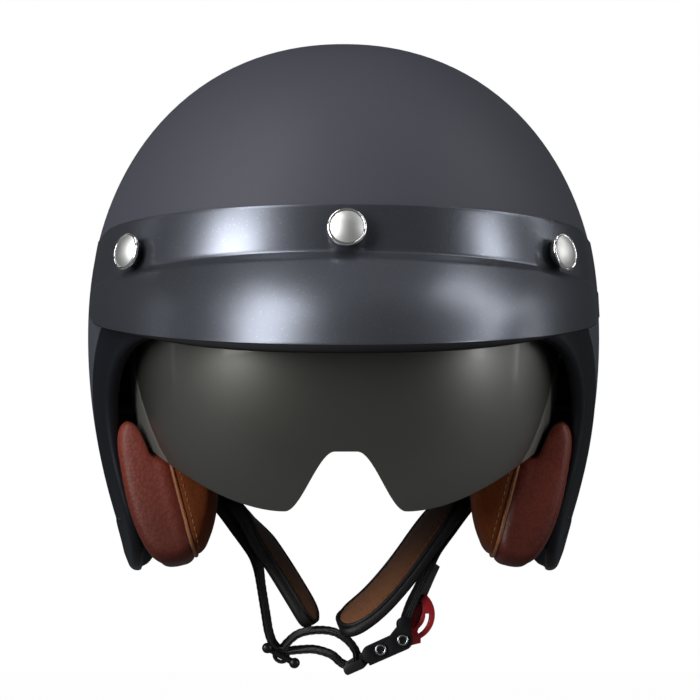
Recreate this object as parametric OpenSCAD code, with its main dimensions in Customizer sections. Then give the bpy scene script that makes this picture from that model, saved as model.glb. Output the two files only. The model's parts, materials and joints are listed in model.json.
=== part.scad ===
// Open-face scooter helmet with a snapped peak, a drop-down smoked sun visor and a ratchet chin strap.
// Z is up, the face looks along -Y, and the origin is where the crown of the head meets the crown pad.
// Heights in this file count from the lowest edge of the cheeks, and each piece is then set down to the origin.

/* [Shell] */
// Half width of the shell at its widest level
shell_half = 124; // [118:1:130]
// Reach of the shell in front of the ear line
shell_front = 134; // [128:1:140]
// Reach of the shell behind the ear line
shell_rear = 142; // [134:1:150]
// Height of the crown above the cheek edge
crown_z = 256; // [252:1:262]
// Height of the widest level above the cheek edge
wide_z = 115; // [113:1:118]
// Wall of the shell
shell_t = 3.2; // [2.6:0.1:3.6]
// How slowly the sides draw in below the widest level
side_taper = 264; // [250:1:290]
// How slowly the nape draws in below the widest level
nape_taper = 190; // [175:1:210]
// Roundness exponent of the plan section
plan_n = 2.1; // [2:0.05:2.2]
// Roundness exponent of the upright section
dome_n = 2.15; // [2.1:0.05:2.3]

/* [Rim] */
// Drop of the brow edge below the widest level
brow_drop = 5; // [3:1:9]
// Depth of the face edge at the brow corner
brow_corner_y = -82; // [-86:1:-78]
// Depth of the face edge at the level of the mouth
face_edge_y = -50; // [-54:1:-46]
// Height of the nape edge at the middle
nape_z = 72; // [70:1:74]
// Half thickness of the rubber edge trim
trim_half = 3.7; // [3.4:0.1:4]
// Depth of the trim's legs over the shell edge
trim_leg = 7; // [5:0.5:8]
// Gap between the trim's channel and the shell
trim_gap = 0.5; // [0.4:0.05:0.6]

/* [Liner] */
// Thickness of the foam at the sides
foam_side_t = 39.1; // [36:0.5:42]
// Thickness of the foam in front
foam_front_t = 29.1; // [26:0.5:33]
// Thickness of the foam behind
foam_rear_t = 33.1; // [29:0.5:39]
// Gap between the shell and the foam
liner_gap = 1.7; // [1.5:0.1:2]
// Thickness of the crown pad
crown_pad_t = 8; // [6:0.5:10]
// Height from the cheek edge to the crown of the head
seat_z = 212; // [208:1:216]
// Drop of the foam's edge over the ears below the widest level
foam_drop = 37; // [31:1:38]

/* [Peak] */
// Stand-off of the peak's band from the shell
peak_gap = 4; // [3.5:0.5:5]
// Wall of the peak
peak_t = 2.2; // [1.8:0.1:2.6]
// Rise of the peak's top edge above the widest level
peak_top_rise = 42; // [40:0.5:44]
// Rise of the crease between the band and the flare
peak_crease_rise = 21.5; // [20:0.5:23]
// Drop of the peak's front edge below the widest level
peak_low_drop = 23; // [15:1:29]
// Rise of the peak's edge at its side ends
peak_end_rise = 4; // [-1:1:9]
// Reach of the front edge beyond the shell
peak_reach = 31; // [24:1:38]
// Rise of the snap fasteners above the widest level
snap_rise = 30.6; // [30:0.2:32]
// Diameter of the chrome snap caps
snap_cap_d = 17.6; // [14:0.2:18]

/* [Sun visor] */
// Depth of the visor's hinge axis
hinge_y = -8; // [-10:0.5:-6]
// Drop of the visor's hinge axis below the widest level
hinge_drop = 10; // [9:0.5:11]
// Gap from the shell's front to the visor
visor_front_gap = 8.5; // [8:0.5:10]
// Gap from the shell's side to the visor
visor_side_gap = 20; // [19:0.5:22]
// Roundness exponent of the visor in plan
lens_n = 2.4; // [2.3:0.05:2.45]
// Wall of the visor
lens_t = 2.2; // [2:0.1:2.6]
// Drop of the nose notch's crown below the hinge axis
notch_drop = 54.5; // [49:0.5:59]
// Drop of the visor's lowest points below the hinge axis
lens_drop = 80.2; // [75:0.2:83]
// Diameter of the hub that the visor turns on
hub_d = 10; // [8:0.5:12]
// Radial clearance of the hub in its bush
hub_gap = 0.06; // [0.04:0.01:0.1]
// Lift of the visor when it is stowed, in degrees
lens_lift = 44; // [40:1:46]

/* [Chin strap] */
// Width of the webbing
web_w = 22; // [18:1:25]
// Thickness of the webbing
web_t = 2; // [1.6:0.1:2.4]
// Width of the strap pads
strap_pad_w = 30; // [27:1:34]
// Thickness of the strap pads
strap_pad_t = 7.4; // [7:0.2:9]
// Depth of the strap anchors
anchor_y = 6; // [4:1:8]
// Height of the strap anchors
anchor_z = 60; // [57:1:62]
// Diameter of the anchor rivets
rivet_d = 6; // [5:0.5:7]
// Diameter of the buckle pins
pin_d = 4; // [3:0.5:5]

/* [Hidden] */

// Heights and reaches that follow the shell
brow_z = wide_z - brow_drop;
foam_side_z = wide_z - foam_drop;
peak_top_z = wide_z + peak_top_rise;
peak_crease_z = wide_z + peak_crease_rise;
peak_low_z = wide_z - peak_low_drop;
peak_end_z = wide_z + peak_end_rise;
snap_z = wide_z + snap_rise;
hinge_z = wide_z - hinge_drop;
notch_z = hinge_z - notch_drop;
lens_low_z = hinge_z - lens_drop;
lens_r = shell_front + hinge_y - visor_front_gap;
lens_half = shell_half - visor_side_gap;
hollow_half = shell_half - shell_t - liner_gap - foam_side_t;
hollow_front = shell_front - shell_t - liner_gap - foam_front_t;
hollow_rear = shell_rear - shell_t - liner_gap - foam_rear_t;

// Shared shapes
drop_k = (crown_z - wide_z) * PI / 2;
outer_dome = [shell_half, shell_front, shell_rear, crown_z - wide_z];
hollow_dome = [hollow_half, hollow_front, hollow_rear, seat_z + crown_pad_t - wide_z];

module at_head() {
    translate([0, 0, -seat_z]) children();
}

function power(v, e) = sign(v) * pow(abs(v), e);
function unit_r(c, s, n) = pow(pow(abs(c), n) + pow(abs(s), n), -1 / n);
function mix(a, b, t) = a + (b - a) * t;
function ease(t) = let (c = max(0, min(1, t))) c * c * (3 - 2 * c);
function unit(v) = v / norm(v);

// Draw-in of the plan section at a height h below the widest level
function side_w(h) = 1 - pow(h / side_taper, 2);
function rear_w(h) = 1 - pow(h / nape_taper, 2);

// Point of a dome at q, whose length runs from 0 at the crown to 1 at the widest level and on below it
function dome(q, s, d) = let (
    rho = norm(q),
    e = rho > 0 ? q / rho : [0, -1],
    m = unit_r(e[0], e[1], plan_n),
    psi = 90 * (1 - rho),
    r = rho < 1 ? unit_r(cos(psi), sin(psi), dome_n) : 1,
    h = rho < 1 ? (s[3] - d) * r * sin(psi) : -(rho - 1) * drop_k,
    w = rho < 1 ? r * cos(psi) : side_w(h),
    wr = rho < 1 ? w : rear_w(h)
) [(s[0] - d) * w * m * e[0], e[1] < 0 ? (s[1] - d) * w * m * e[1] : (s[2] - d) * wr * m * e[1], wide_z + h];

function skin(q, d) = dome(q, outer_dome, d);

// The q of a point below the widest level, from its side, depth y and height z
function q_of(side, y, z) = let (
    h = z - wide_z,
    cy = y < 0 ? y / (shell_front * side_w(h)) : y / (shell_rear * rear_w(h)),
    cx = pow(max(0, 1 - pow(abs(cy), plan_n)), 1 / plan_n)
) (1 - h / drop_k) * unit([side * cx, cy]);

// The q of a height above or near the widest level, at a plan direction a
function q_at(a, z) = let (
    h = z - wide_z,
    rho = h < 0 ? 1 - h / drop_k : dome_rho(h / (crown_z - wide_z), 0, 1, 24)
) rho * [cos(a), sin(a)];
// Bisection for the q length at which the dome has the height share t
function dome_rho(t, lo, hi, n) = n == 0 ? (lo + hi) / 2 : let (
    mid = (lo + hi) / 2,
    psi = 90 * (1 - mid),
    h = unit_r(cos(psi), sin(psi), dome_n) * sin(psi)
) h > t ? dome_rho(t, mid, hi, n - 1) : dome_rho(t, lo, mid, n - 1);

// Half width of the shell's side at a depth y and height z, d below its outer face
function skin_x(y, z, d) = let (
    h = z - wide_z,
    w = h < 0 ? side_w(h) : 1,
    wr = h < 0 ? rear_w(h) : 1,
    cy = y < 0 ? y / ((shell_front - d) * w) : y / ((shell_rear - d) * wr)
) (shell_half - d) * w * pow(1 - pow(abs(cy), plan_n), 1 / plan_n);

// Outward normal of the shell at q
function skin_n(q) = let (
    e = 0.002,
    a = skin(q + [e, 0], 0) - skin(q - [e, 0], 0),
    b = skin(q + [0, e], 0) - skin(q - [0, e], 0)
) unit(cross(a, b));

// Sets children on the shell at q, with their Z along the outward normal and Z = 0 at the outer face
module on_shell(q) {
    p = skin(q, 0);
    n = skin_n(q);
    translate(p) rotate([0, acos(n[2]), atan2(n[1], n[0])]) children();
}

// Rim of the shell, as depth and height of its right half from the brow to the nape
rim_right = [
    for (p = [[-shell_front * side_w(brow_z - wide_z), brow_z], [-124, brow_z], [-104, brow_z - 1.5],
        [brow_corner_y, brow_z - 6.5], [brow_corner_y + 14, brow_z - 17], [face_edge_y - 7, 76],
        [face_edge_y - 2, 56], [face_edge_y, 38], [face_edge_y + 3, 22], [face_edge_y + 13, 10], [-20, 4.6],
        [2, 4.6], [26, 8], [50, 17], [74, 31], [97, 48], [114, nape_z - 9], [shell_rear, nape_z]])
    q_of(1, p[0], p[1])
];
rim_n = len(rim_right);
corner_s = 8;
nape_s = 14;
// Closed list of the rim, right half forward and left half back
rim_loop = concat(rim_right, [for (i = [rim_n - 2:-1:1]) [-rim_right[i][0], rim_right[i][1]]]);
function wrap(list, i) = let (n = len(list)) list[((i % n) + n) % n];
function spline(list, s) = let (
    i = floor(s),
    t = s - i,
    a = wrap(list, i - 1),
    b = wrap(list, i),
    c = wrap(list, i + 1),
    d = wrap(list, i + 2)
) b + 0.5 * t * (c - a + t * (2 * a - 5 * b + 4 * c - d + t * (3 * (b - c) + d - a)));
function rim_q(s) = spline(rim_loop, s);

// q over the whole shell, u from left to right and v from the brow to the nape
// The front edge runs from cheek tip to cheek tip, its stations closer together toward the cheeks
front_crowding = 1.5;
function front_s(u) = let (w = 2 * u - 1) sign(w) * corner_s * pow(abs(w), front_crowding);
function brow_q(u) = rim_q(front_s(u));
function nape_q(u) = rim_q(mix(len(rim_loop) - nape_s, nape_s, u));
function side_q(sgn, v) = let (p = rim_q(mix(corner_s, nape_s, v))) [sgn * p[0], p[1]];
function shell_q(u, v) = (1 - v) * brow_q(u) + v * nape_q(u) + (1 - u) * side_q(-1, v) + u * side_q(1, v)
    - (1 - v) * ((1 - u) * brow_q(0) + u * brow_q(1)) - v * ((1 - u) * nape_q(0) + u * nape_q(1));

// Two triangles of a cell
function cell(a, b, c, d) = [[a, b, c], [a, c, d]];
function flat(list) = [for (a = list) for (b = a) b];

// Closed solid between an outer and an inner grid of points that share their four edges
module walled(outer, inner) {
    rows = len(outer);
    cols = len(outer[0]);
    n = rows * cols;
    polyhedron(
        points = concat(flat(outer), flat(inner)),
        faces = flat(concat(
            [for (r = [0:rows - 2]) for (c = [0:cols - 2]) let (i = r * cols + c)
                cell(i, i + cols, i + cols + 1, i + 1)],
            [for (r = [0:rows - 2]) for (c = [0:cols - 2]) let (i = n + r * cols + c)
                cell(i, i + 1, i + cols + 1, i + cols)],
            [for (r = [0:rows - 2]) let (i = r * cols) cell(i, i + n, i + n + cols, i + cols)],
            [for (r = [0:rows - 2]) let (i = r * cols + cols - 1) cell(i, i + cols, i + n + cols, i + n)],
            [for (c = [0:cols - 2]) cell(c, c + 1, c + 1 + n, c + n)],
            [for (c = [0:cols - 2]) let (i = (rows - 1) * cols + c) cell(i, i + n, i + n + 1, i + 1)]
        ))
    );
}

// Closed bowl between outer and inner rings round two poles
module bowl(outer_pole, outer, inner_pole, inner) {
    rings = len(outer);
    k = len(outer[0]);
    n = rings * k;
    polyhedron(
        points = concat(flat(outer), flat(inner), [outer_pole, inner_pole]),
        faces = flat(concat(
            [for (c = [0:k - 1]) [[2 * n, (c + 1) % k, c], [2 * n + 1, n + c, n + (c + 1) % k]]],
            [for (r = [0:rings - 2]) for (c = [0:k - 1]) let (i = r * k, e = (c + 1) % k)
                cell(i + c, i + e, i + k + e, i + k + c)],
            [for (r = [0:rings - 2]) for (c = [0:k - 1]) let (i = n + r * k, e = (c + 1) % k)
                cell(i + c, i + k + c, i + k + e, i + e)],
            [for (c = [0:k - 1]) let (i = (rings - 1) * k, e = (c + 1) % k)
                cell(i + c, i + e, i + n + e, i + n + c)]
        ))
    );
}

// Solid through a list of rings, capped at both ends unless it closes on itself
module swept(rings, closed = false) {
    m = len(rings);
    k = len(rings[0]);
    polyhedron(
        points = flat(rings),
        faces = flat(concat(
            [for (r = [0:closed ? m - 1 : m - 2]) for (c = [0:k - 1]) let (i = r * k, j = ((r + 1) % m) * k,
                e = (c + 1) % k) cell(i + c, j + c, j + e, i + e)],
            closed ? [] : [[for (c = [1:k - 2]) [0, c, c + 1]]],
            closed ? [] : [[for (c = [1:k - 2]) let (b = (m - 1) * k) [b, b + c + 1, b + c]]]
        ))
    );
}

// Shell and its edge trim
shell_cols = 42;
shell_rows = 30;
function shell_grid(d) = [for (j = [0:shell_rows]) [for (i = [0:shell_cols])
    skin(shell_q(i / shell_cols, j / shell_rows), d)]];

// Plan direction of the side snaps, from the ear line
snap_side_a = 42.7;
snap_drop = 4.4;
snap_q = [q_at(-90, snap_z), q_at(-snap_side_a, snap_z - snap_drop), q_at(snap_side_a - 180, snap_z - snap_drop)];
stud_d = 5;
// Depth of the countersink for the anchor rivets
sink = 2;
anchor_q = [for (s = [-1, 1]) q_of(s, anchor_y, anchor_z)];

module shell() {
    color("#3b3d44") at_head() difference() {
        walled(shell_grid(0), shell_grid(shell_t));
        for (q = snap_q) on_shell(q) translate([0, 0, -shell_t - 3]) cylinder(d = stud_d + 0.4, h = 8, $fn = 32);
        for (q = anchor_q) on_shell(q) {
            translate([0, 0, -shell_t - 3]) cylinder(d = rivet_d + 0.4, h = 8, $fn = 32);
            translate([0, 0, -sink]) cylinder(d1 = rivet_d + 0.4, d2 = rivet_d + 2.4 + 2 * sink, h = sink + 1, $fn = 48);
        }
    }
}

// Section of the trim, as steps across the wall and off the rim
trim_in = shell_t / 2 + trim_gap;
trim_section = [[trim_in, trim_gap], [trim_in, -trim_leg], [trim_half - 0.5, 0.6 - trim_leg], [trim_half, -1],
    [0.72 * trim_half, 2.6], [0, 3.7], [-0.72 * trim_half, 2.6], [-trim_half, -1],
    [0.5 - trim_half, 0.6 - trim_leg], [-trim_in, -trim_leg], [-trim_in, trim_gap]];
// Its stations along the rim, on the shell's own columns and rows
loop_n = len(rim_loop);
trim_cols = shell_cols / 2;
trim_stations = concat(
    [for (i = [0:shell_cols - 1]) front_s(i / shell_cols)],
    [for (i = [0:shell_rows - 1]) mix(corner_s, nape_s, i / shell_rows)],
    [for (i = [0:trim_cols - 1]) mix(nape_s, loop_n - nape_s, i / trim_cols)],
    [for (i = [0:shell_rows - 1]) mix(loop_n - nape_s, loop_n - corner_s, i / shell_rows)]);
// Step in q that moves a point of the skin by one millimetre straight off the rim
function rim_step(s) = let (
    q = rim_q(s),
    e = 0.002,
    a = (skin(q + [e, 0], 0) - skin(q - [e, 0], 0)) / (2 * e),
    b = (skin(q + [0, e], 0) - skin(q - [0, e], 0)) / (2 * e),
    run = skin(rim_q(s + 0.05), 0) - skin(rim_q(s - 0.05), 0),
    off = unit(cross(run, cross(a, b))),
    det = (a * a) * (b * b) - (a * b) * (a * b)
) [(off * a) * (b * b) - (off * b) * (a * b), (off * b) * (a * a) - (off * a) * (a * b)] / det;
function trim_ring(s) = let (q = rim_q(s), step = rim_step(s))
    [for (p = trim_section) skin(q + p[1] * step, shell_t / 2 - p[0])];

module edge_trim() {
    color("#14161c") at_head()
        swept([for (s = trim_stations) trim_ring(s)], closed = true);
}

// Sun visor: a shell of revolution about the hinge axis, which runs along X
function lens_radius(x, d) = (lens_r - d) * pow(max(0, 1 - pow(abs(x) / (lens_half - d), lens_n)), 1 / lens_n);
function lens_x(r, d) = (lens_half - d) * pow(max(0, 1 - pow(r / (lens_r - d), lens_n)), 1 / lens_n);
// Turns a profile drawn as radius and side into a solid about the hinge axis, from angle a to angle b
module about_hinge(a, b) {
    translate([0, hinge_y, hinge_z]) rotate([0, 90, 0]) rotate([0, 0, -90 - b])
        rotate_extrude(angle = b - a, $fn = 96) children();
}
lens_clear = 1.5;
arm_x = lens_half - 5.4;
arm_t = 2.2;
// Depth of the visor's rear edges
wing_y = -41;
wing_r = hinge_y - wing_y;
// Room for the visor's sweep: all that lies outside its inner face
module visor_room(d, side) {
    steps = 14;
    mirror([side < 0 ? 1 : 0, 0, 0]) about_hinge(-56, lens_lift + 27)
        polygon(concat(
            [for (i = [0:steps]) let (r = mix(lens_r - d, 48, i / steps)) [r, lens_x(r, d)]],
            [[48, arm_x - 3.6], [0, arm_x - 3.6], [0, shell_half + 16], [lens_r + 40, shell_half + 16], [lens_r + 40, 0]]
        ));
}

// Foam liner: a thick bowl whose lower edge is high over the ears and low at the nape
liner_cols = 40;
liner_rings = 11;
function liner_edge_z(a) = let (f = -sin(a)) f > 0
    ? mix(foam_side_z, brow_z + 9, ease((f - 0.25) / 0.45))
    : mix(foam_side_z, nape_z + 11, ease((-f - 0.25) / 0.55));
function bowl_q(i, j, cols, rings, inset) = let (
    a = 360 * i / cols,
    rho = 1 - (liner_edge_z(a) + inset - wide_z) / drop_k
) rho * pow(j / rings, 0.9) * [cos(a), sin(a)];
function bowl_rings(s, d, inset) = [for (j = [1:liner_rings]) [for (i = [0:liner_cols - 1])
    dome(bowl_q(i, j, liner_cols, liner_rings, inset), s, d)]];

pivot_floor_x = arm_x - 5.6;
plate_d = 36;
module impact_liner() {
    color("#26272a") at_head() difference() {
        bowl(dome([0, 0], outer_dome, shell_t + liner_gap), bowl_rings(outer_dome, shell_t + liner_gap, 0),
            dome([0, 0], hollow_dome, 0), bowl_rings(hollow_dome, 0, 0));
        for (s = [-1, 1]) visor_room(lens_t + lens_clear, s);
        for (s = [-1, 1]) translate([s * (pivot_floor_x + 20), hinge_y, hinge_z])
            rotate([0, 90, 0]) cylinder(d = plate_d + 1, h = 40, center = true, $fn = 64);
        translate([pivot_floor_x, hinge_y, foam_side_z - 10]) cube([40, 40, hinge_z - foam_side_z + 22]);
        // Room for the strap's anchor plates where the foam comes down to them
        for (q = anchor_q) on_shell(q) translate([-10, -16, -shell_t - 12]) cube([27, 32, 12]);
    }
}

// Crown pad: a quilted bowl inside the foam, with six sewn channels
channels = 6;
function pad_depth(i, j) = let (
    a = 360 * i / liner_cols,
    across = pow(abs(sin(a * channels / 2)), 0.6),
    edge = min(1, (liner_rings - j) / 1.5)
) crown_pad_t * mix(1, mix(0.5, mix(0.6, 1, across), edge), ease((j - 1) / 2));
module crown_pad() {
    inset = 30;
    color("#5b2f22") at_head() bowl(
        dome([0, 0], hollow_dome, 0.8), bowl_rings(hollow_dome, 0.8, inset),
        dome([0, 0], hollow_dome, crown_pad_t),
        [for (j = [1:liner_rings]) [for (i = [0:liner_cols - 1])
            dome(bowl_q(i, j, liner_cols, liner_rings, inset), hollow_dome, pad_depth(i, j))]]);
}

// A padded roll that follows the hollow's wall between two plan directions, at a height that a function gives
roll_cols = 18;
function roll_ring(a, z, fat, tall) = let (
    q = q_at(a, z),
    p = dome(q, hollow_dome, fat / 2 + 0.6),
    out = unit([p[0], p[1], 0])
) [for (b = [324:-36:0]) p + out * fat / 2 * power(cos(b), 0.8) + [0, 0, tall / 2 * power(sin(b), 0.8)]];
module brow_pad() {
    color("#6b3a2a") at_head() swept([for (i = [0:roll_cols]) let (
        t = i / roll_cols,
        grow = 0.35 + 0.65 * pow(max(0, 1 - pow(2 * t - 1, 4)), 0.5)
    ) roll_ring(mix(-145, -35, t), brow_z + 16, 9 * grow, 11 * grow)]);
}
module neck_roll() {
    color("#1d1d20") at_head() swept([for (i = [0:roll_cols]) let (
        t = i / roll_cols,
        grow = 0.35 + 0.65 * pow(max(0, 1 - pow(2 * t - 1, 4)), 0.5)
    ) roll_ring(mix(35, 145, t), nape_z + 17, 14 * grow, 20 * grow)]);
}

// Cheek foam blocks between the pads and the shell
foam_in_x = shell_half - 32.5;
foam_front_y = -36;
foam_rear_y = -13;
foam_low_z = 21;
foam_top_z = foam_side_z - 4;
module cheek_foam(side) {
    n = 6;
    ys = [for (i = [0:n]) mix(foam_front_y, foam_rear_y, i / n)];
    zs = [for (j = [0:n]) mix(foam_low_z, foam_top_z, j / n)];
    color("#222326") at_head() mirror([side < 0 ? 1 : 0, 0, 0]) walled(
        [for (z = zs) [for (y = ys) [skin_x(y, z, shell_t + 0.9), y, z]]],
        [for (z = zs) [for (y = ys) [foam_in_x, y, z]]]);
}
module cheek_foam_left() { cheek_foam(1); }
module cheek_foam_right() { cheek_foam(-1); }

// Cheek pads: crowned cushions with a seam line, wrapped round the front of the foam
pad_front_y = -57;
pad_rear_y = -12.6;
pad_mid_x = foam_in_x - 7.5;
pad_in = 24.5;
pad_top_z = foam_side_z - 2;
pad_low_z = 1.2;
pad_wrap_y = -43;
pad_rings = 16;
pad_sides = 28;
function pad_point(a, y) = let (
    c = cos(a),
    s = sin(a),
    low = s < 0,
    mid_z = 46,
    hz = low ? mid_z - pad_low_z : pad_top_z - mid_z,
    z = mid_z + hz * power(s, low ? 0.75 : 0.5),
    edge = skin_x(max(y, -52), max(z, 20), shell_t + 5.2) - 0.3,
    wide = mix(edge - pad_mid_x, foam_in_x - 1 - pad_mid_x, ease((y - pad_wrap_y) / 4.5)),
    x = c > 0 ? wide * power(c, low ? 1 : 0.55) : pad_in * power(c, low ? 0.8 : 0.6)
) [x, z - mid_z, mid_z];
function pad_ring(t) = let (
    y = mix(pad_front_y, pad_rear_y, t),
    f = pow(max(0, 1 - pow(abs(2 * t - 1), 3.2)), 0.42),
    crown = 0.42 + 0.58 * f
) [for (k = [0:pad_sides - 1]) let (a = -360 * k / pad_sides, p = pad_point(a, y))
    [pad_mid_x + p[0] * mix(crown, 1, 0.35), y, p[2] + p[1] * mix(crown, 1, 0.5)]];
module cheek_pad(side) {
    color("#7d3b2b") at_head() mirror([side < 0 ? 1 : 0, 0, 0]) difference() {
        swept([for (i = [0:pad_rings]) pad_ring(i / pad_rings)]);
        about_hinge(-54, lens_lift + 8) polygon(concat(
            [for (i = [0:8]) let (r = mix(76, 26, i / 8)) [r, lens_x(r, lens_t + 1)]],
            [for (i = [8:-1:0]) let (r = mix(76, 26, i / 8)) [r, lens_x(r, 0) + 1]]));
    }
}
module cheek_pad_left() { cheek_pad(1); }
module cheek_pad_right() { cheek_pad(-1); }

// Peak: a band that follows the shell, a crease, and a flare that reaches forward
peak_end_a = 20;
peak_cols = 46;
peak_steps = [0, 0.09, 0.19, 0.27, 0.31, 0.37, 0.47, 0.6, 0.74, 0.88, 1];
band_share = 0.27;
peak_end_gap = 0.6;
peak_end_drop = 3;
crease_drop = 5.5;
function peak_front(a) = (-sin(a) - sin(peak_end_a)) / (1 - sin(peak_end_a));
function peak_off(a) = mix(peak_end_gap, peak_gap, ease((-sin(a) - sin(peak_end_a)) / 0.22));
function peak_point(a, t, d) = let (
    f = max(0, peak_front(a)),
    band = min(1, t / band_share),
    down = max(0, t - band_share) / (1 - band_share),
    top_z = peak_top_z - peak_end_drop * pow(1 - f, 3),
    root = skin(q_at(a, mix(top_z, peak_crease_z - crease_drop * (1 - f), band)), -peak_off(a) - d),
    low_z = mix(peak_end_z, peak_low_z, pow(f, 0.85)),
    side = skin(q_at(a, max(low_z, wide_z)), -peak_off(a) - d),
    step = 1.4 * ease(down * 9) * (0.3 + 0.7 * f),
    bulge = 3 * sin(180 * down) * f,
    way = unit([root[0], root[1], 0])
) [mix(root[0], side[0], down), mix(root[1], side[1], down) - peak_reach * pow(f, 1.1) * down, mix(root[2], low_z, down)]
    + way * (step + bulge);
function peak_grid(d) = [for (t = peak_steps) [for (i = [0:peak_cols])
    peak_point(mix(-peak_end_a, -180 + peak_end_a, i / peak_cols), t, d)]];
collar_d = 13;
barrel_d = 9;
module peak() {
    color("#34373c") at_head() difference() {
        walled(peak_grid(peak_t), peak_grid(0));
        for (q = snap_q) on_shell(q) translate([0, 0, 2]) cylinder(d = barrel_d + 0.4, h = peak_gap + peak_t + 4, $fn = 48);
    }
}

// Snap fasteners: stud in the shell, socket and collar in the peak, chrome cap on top
face_gap = 0.3;
socket_low = 2.6;
collar_low = peak_gap + peak_t + 1.1;
collar_t = 3;
cap_low = collar_low + collar_t + 0.2;
module snap_studs() {
    color("silver") at_head() for (q = snap_q) on_shell(q) {
        translate([0, 0, face_gap]) cylinder(d = collar_d - 1, h = 1, $fn = 48);
        translate([0, 0, -shell_t - 1.4]) cylinder(d = stud_d, h = shell_t + 4.8, $fn = 32);
        translate([0, 0, 3.2]) cylinder(d = stud_d + 1.2, h = 1.4, $fn = 32);
        translate([0, 0, -shell_t - 1.4]) cylinder(d = stud_d + 4, h = 1, $fn = 32);
    }
}
module snap_sockets() {
    color("#1a1a1c") at_head() for (q = snap_q) on_shell(q) difference() {
        union() {
            translate([0, 0, socket_low]) cylinder(d = collar_d, h = 1.1, $fn = 48);
            translate([0, 0, socket_low]) cylinder(d = barrel_d, h = cap_low - socket_low - 0.3, $fn = 48);
        }
        translate([0, 0, socket_low - 1]) cylinder(d = stud_d + 2, h = 3.6, $fn = 32);
        translate([0, 0, socket_low]) cylinder(d = 4.1, h = 12, $fn = 32);
    }
}
module snap_collars() {
    color("#131315") at_head() for (q = snap_q) on_shell(q) difference() {
        translate([0, 0, collar_low]) cylinder(d = collar_d, h = collar_t, $fn = 48);
        translate([0, 0, collar_low - 1]) cylinder(d = barrel_d + 0.1, h = collar_t + 2, $fn = 48);
    }
}
module snap_caps() {
    r = snap_cap_d / 2;
    color("#c9c6c1") at_head() for (q = snap_q) on_shell(q) translate([0, 0, cap_low]) {
        rotate_extrude($fn = 64) polygon(concat(
            [[0, 0], [r - 0.5, 0], [r, 0.5], [r - 0.1, 1.3], [r - 0.7, 1.8]],
            [for (b = [15:15:90]) [(r - 0.7) * cos(b), 1.8 + 1.7 * sin(b)]]));
        translate([0, 0, -4]) cylinder(d = 4, h = 4.5, $fn = 32);
    }
}

// Sun visor lens between its outline's lower and upper edges
lens_top_a = 12;
lens_side_z = hinge_z - 47.5;
notch_half = 28;
lens_rows = 8;
function notch_s(x) = ease((x - 5) / (notch_half - 5.5));
function lens_low(x) = x < notch_half ? mix(notch_z, lens_low_z, notch_s(x))
    : lens_low_z + (lens_side_z - lens_low_z) * pow((x - notch_half) / 65, 1.765);
function wing_z(r) = sqrt(max(0, r * r - wing_r * wing_r));
// Where the columns change from even steps in x to even steps in radius
wing_turn_x = lens_half - 12;
lens_half_cols = concat(
    [for (i = [0:11]) let (x = 2.5 * i) [x, lens_radius(x, 0)]],
    [for (i = [1:9]) let (x = mix(27.5, wing_turn_x, i / 9)) [x, lens_radius(x, 0)]],
    [for (i = [1:5]) let (r = mix(lens_radius(wing_turn_x, 0), wing_r + 3, i / 5)) [lens_x(r, 0), r]]);
lens_cols = concat([for (i = [len(lens_half_cols) - 1:-1:1]) [-lens_half_cols[i][0], lens_half_cols[i][1]]],
    lens_half_cols);
function lens_line(p, d) = let (
    n = unit([power(p[0] / lens_half, lens_n - 1) / lens_half, pow(p[1] / lens_r, lens_n - 1) / lens_r]),
    w = wing_z(p[1]),
    low = asin((max(lens_low(abs(p[0])), hinge_z - w) - hinge_z) / p[1]),
    top = min(lens_top_a, asin(w / p[1])),
    x = p[0] - d * n[0],
    r = p[1] - d * n[1]
) [for (j = [0:lens_rows]) let (a = mix(top, low, j / lens_rows)) [x, hinge_y - r * cos(a), hinge_z + r * sin(a)]];
bush_d = 14;
disc_r = 13;
module lens_arm() {
    translate([arm_x, 0, 0]) rotate([90, 0, 90]) linear_extrude(arm_t) difference() {
        union() {
            translate([hinge_y, hinge_z]) circle(r = disc_r, $fn = 64);
            polygon([[wing_y - 2.4, hinge_z - 13], [hinge_y, hinge_z - 10], [hinge_y, hinge_z + 8], [wing_y - 2.4, hinge_z + 6.5]]);
        }
        translate([hinge_y, hinge_z]) circle(d = bush_d + 0.1, $fn = 64);
    }
}
module sun_visor() {
    color("#4a4a42", 0.9) at_head() {
        walled([for (p = lens_cols) lens_line(p, 0)], [for (p = lens_cols) lens_line(p, lens_t)]);
        mirror([1, 0, 0]) lens_arm();
        difference() {
            lens_arm();
            at_nipple() translate([0, 0, -1]) cylinder(d = nipple_d + 0.1, h = arm_t + 2, $fn = 24);
        }
    }
}

// Pivots: bushes in the visor's arms, plates with hubs on the foam, washers and screws
module hinge_ring(x, t, outer, inner) {
    translate([x, hinge_y, hinge_z]) rotate([0, 90, 0]) difference() {
        cylinder(d = outer, h = t, $fn = 64);
        translate([0, 0, -1]) cylinder(d = inner, h = t + 2, $fn = 64);
    }
}
screw_d = 4;
module visor_bushes() {
    color("#d8d4c8") at_head() for (s = [0, 1]) mirror([s, 0, 0])
        hinge_ring(arm_x - 0.1, arm_t + 0.5, bush_d, hub_d + 2 * hub_gap);
}
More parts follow.
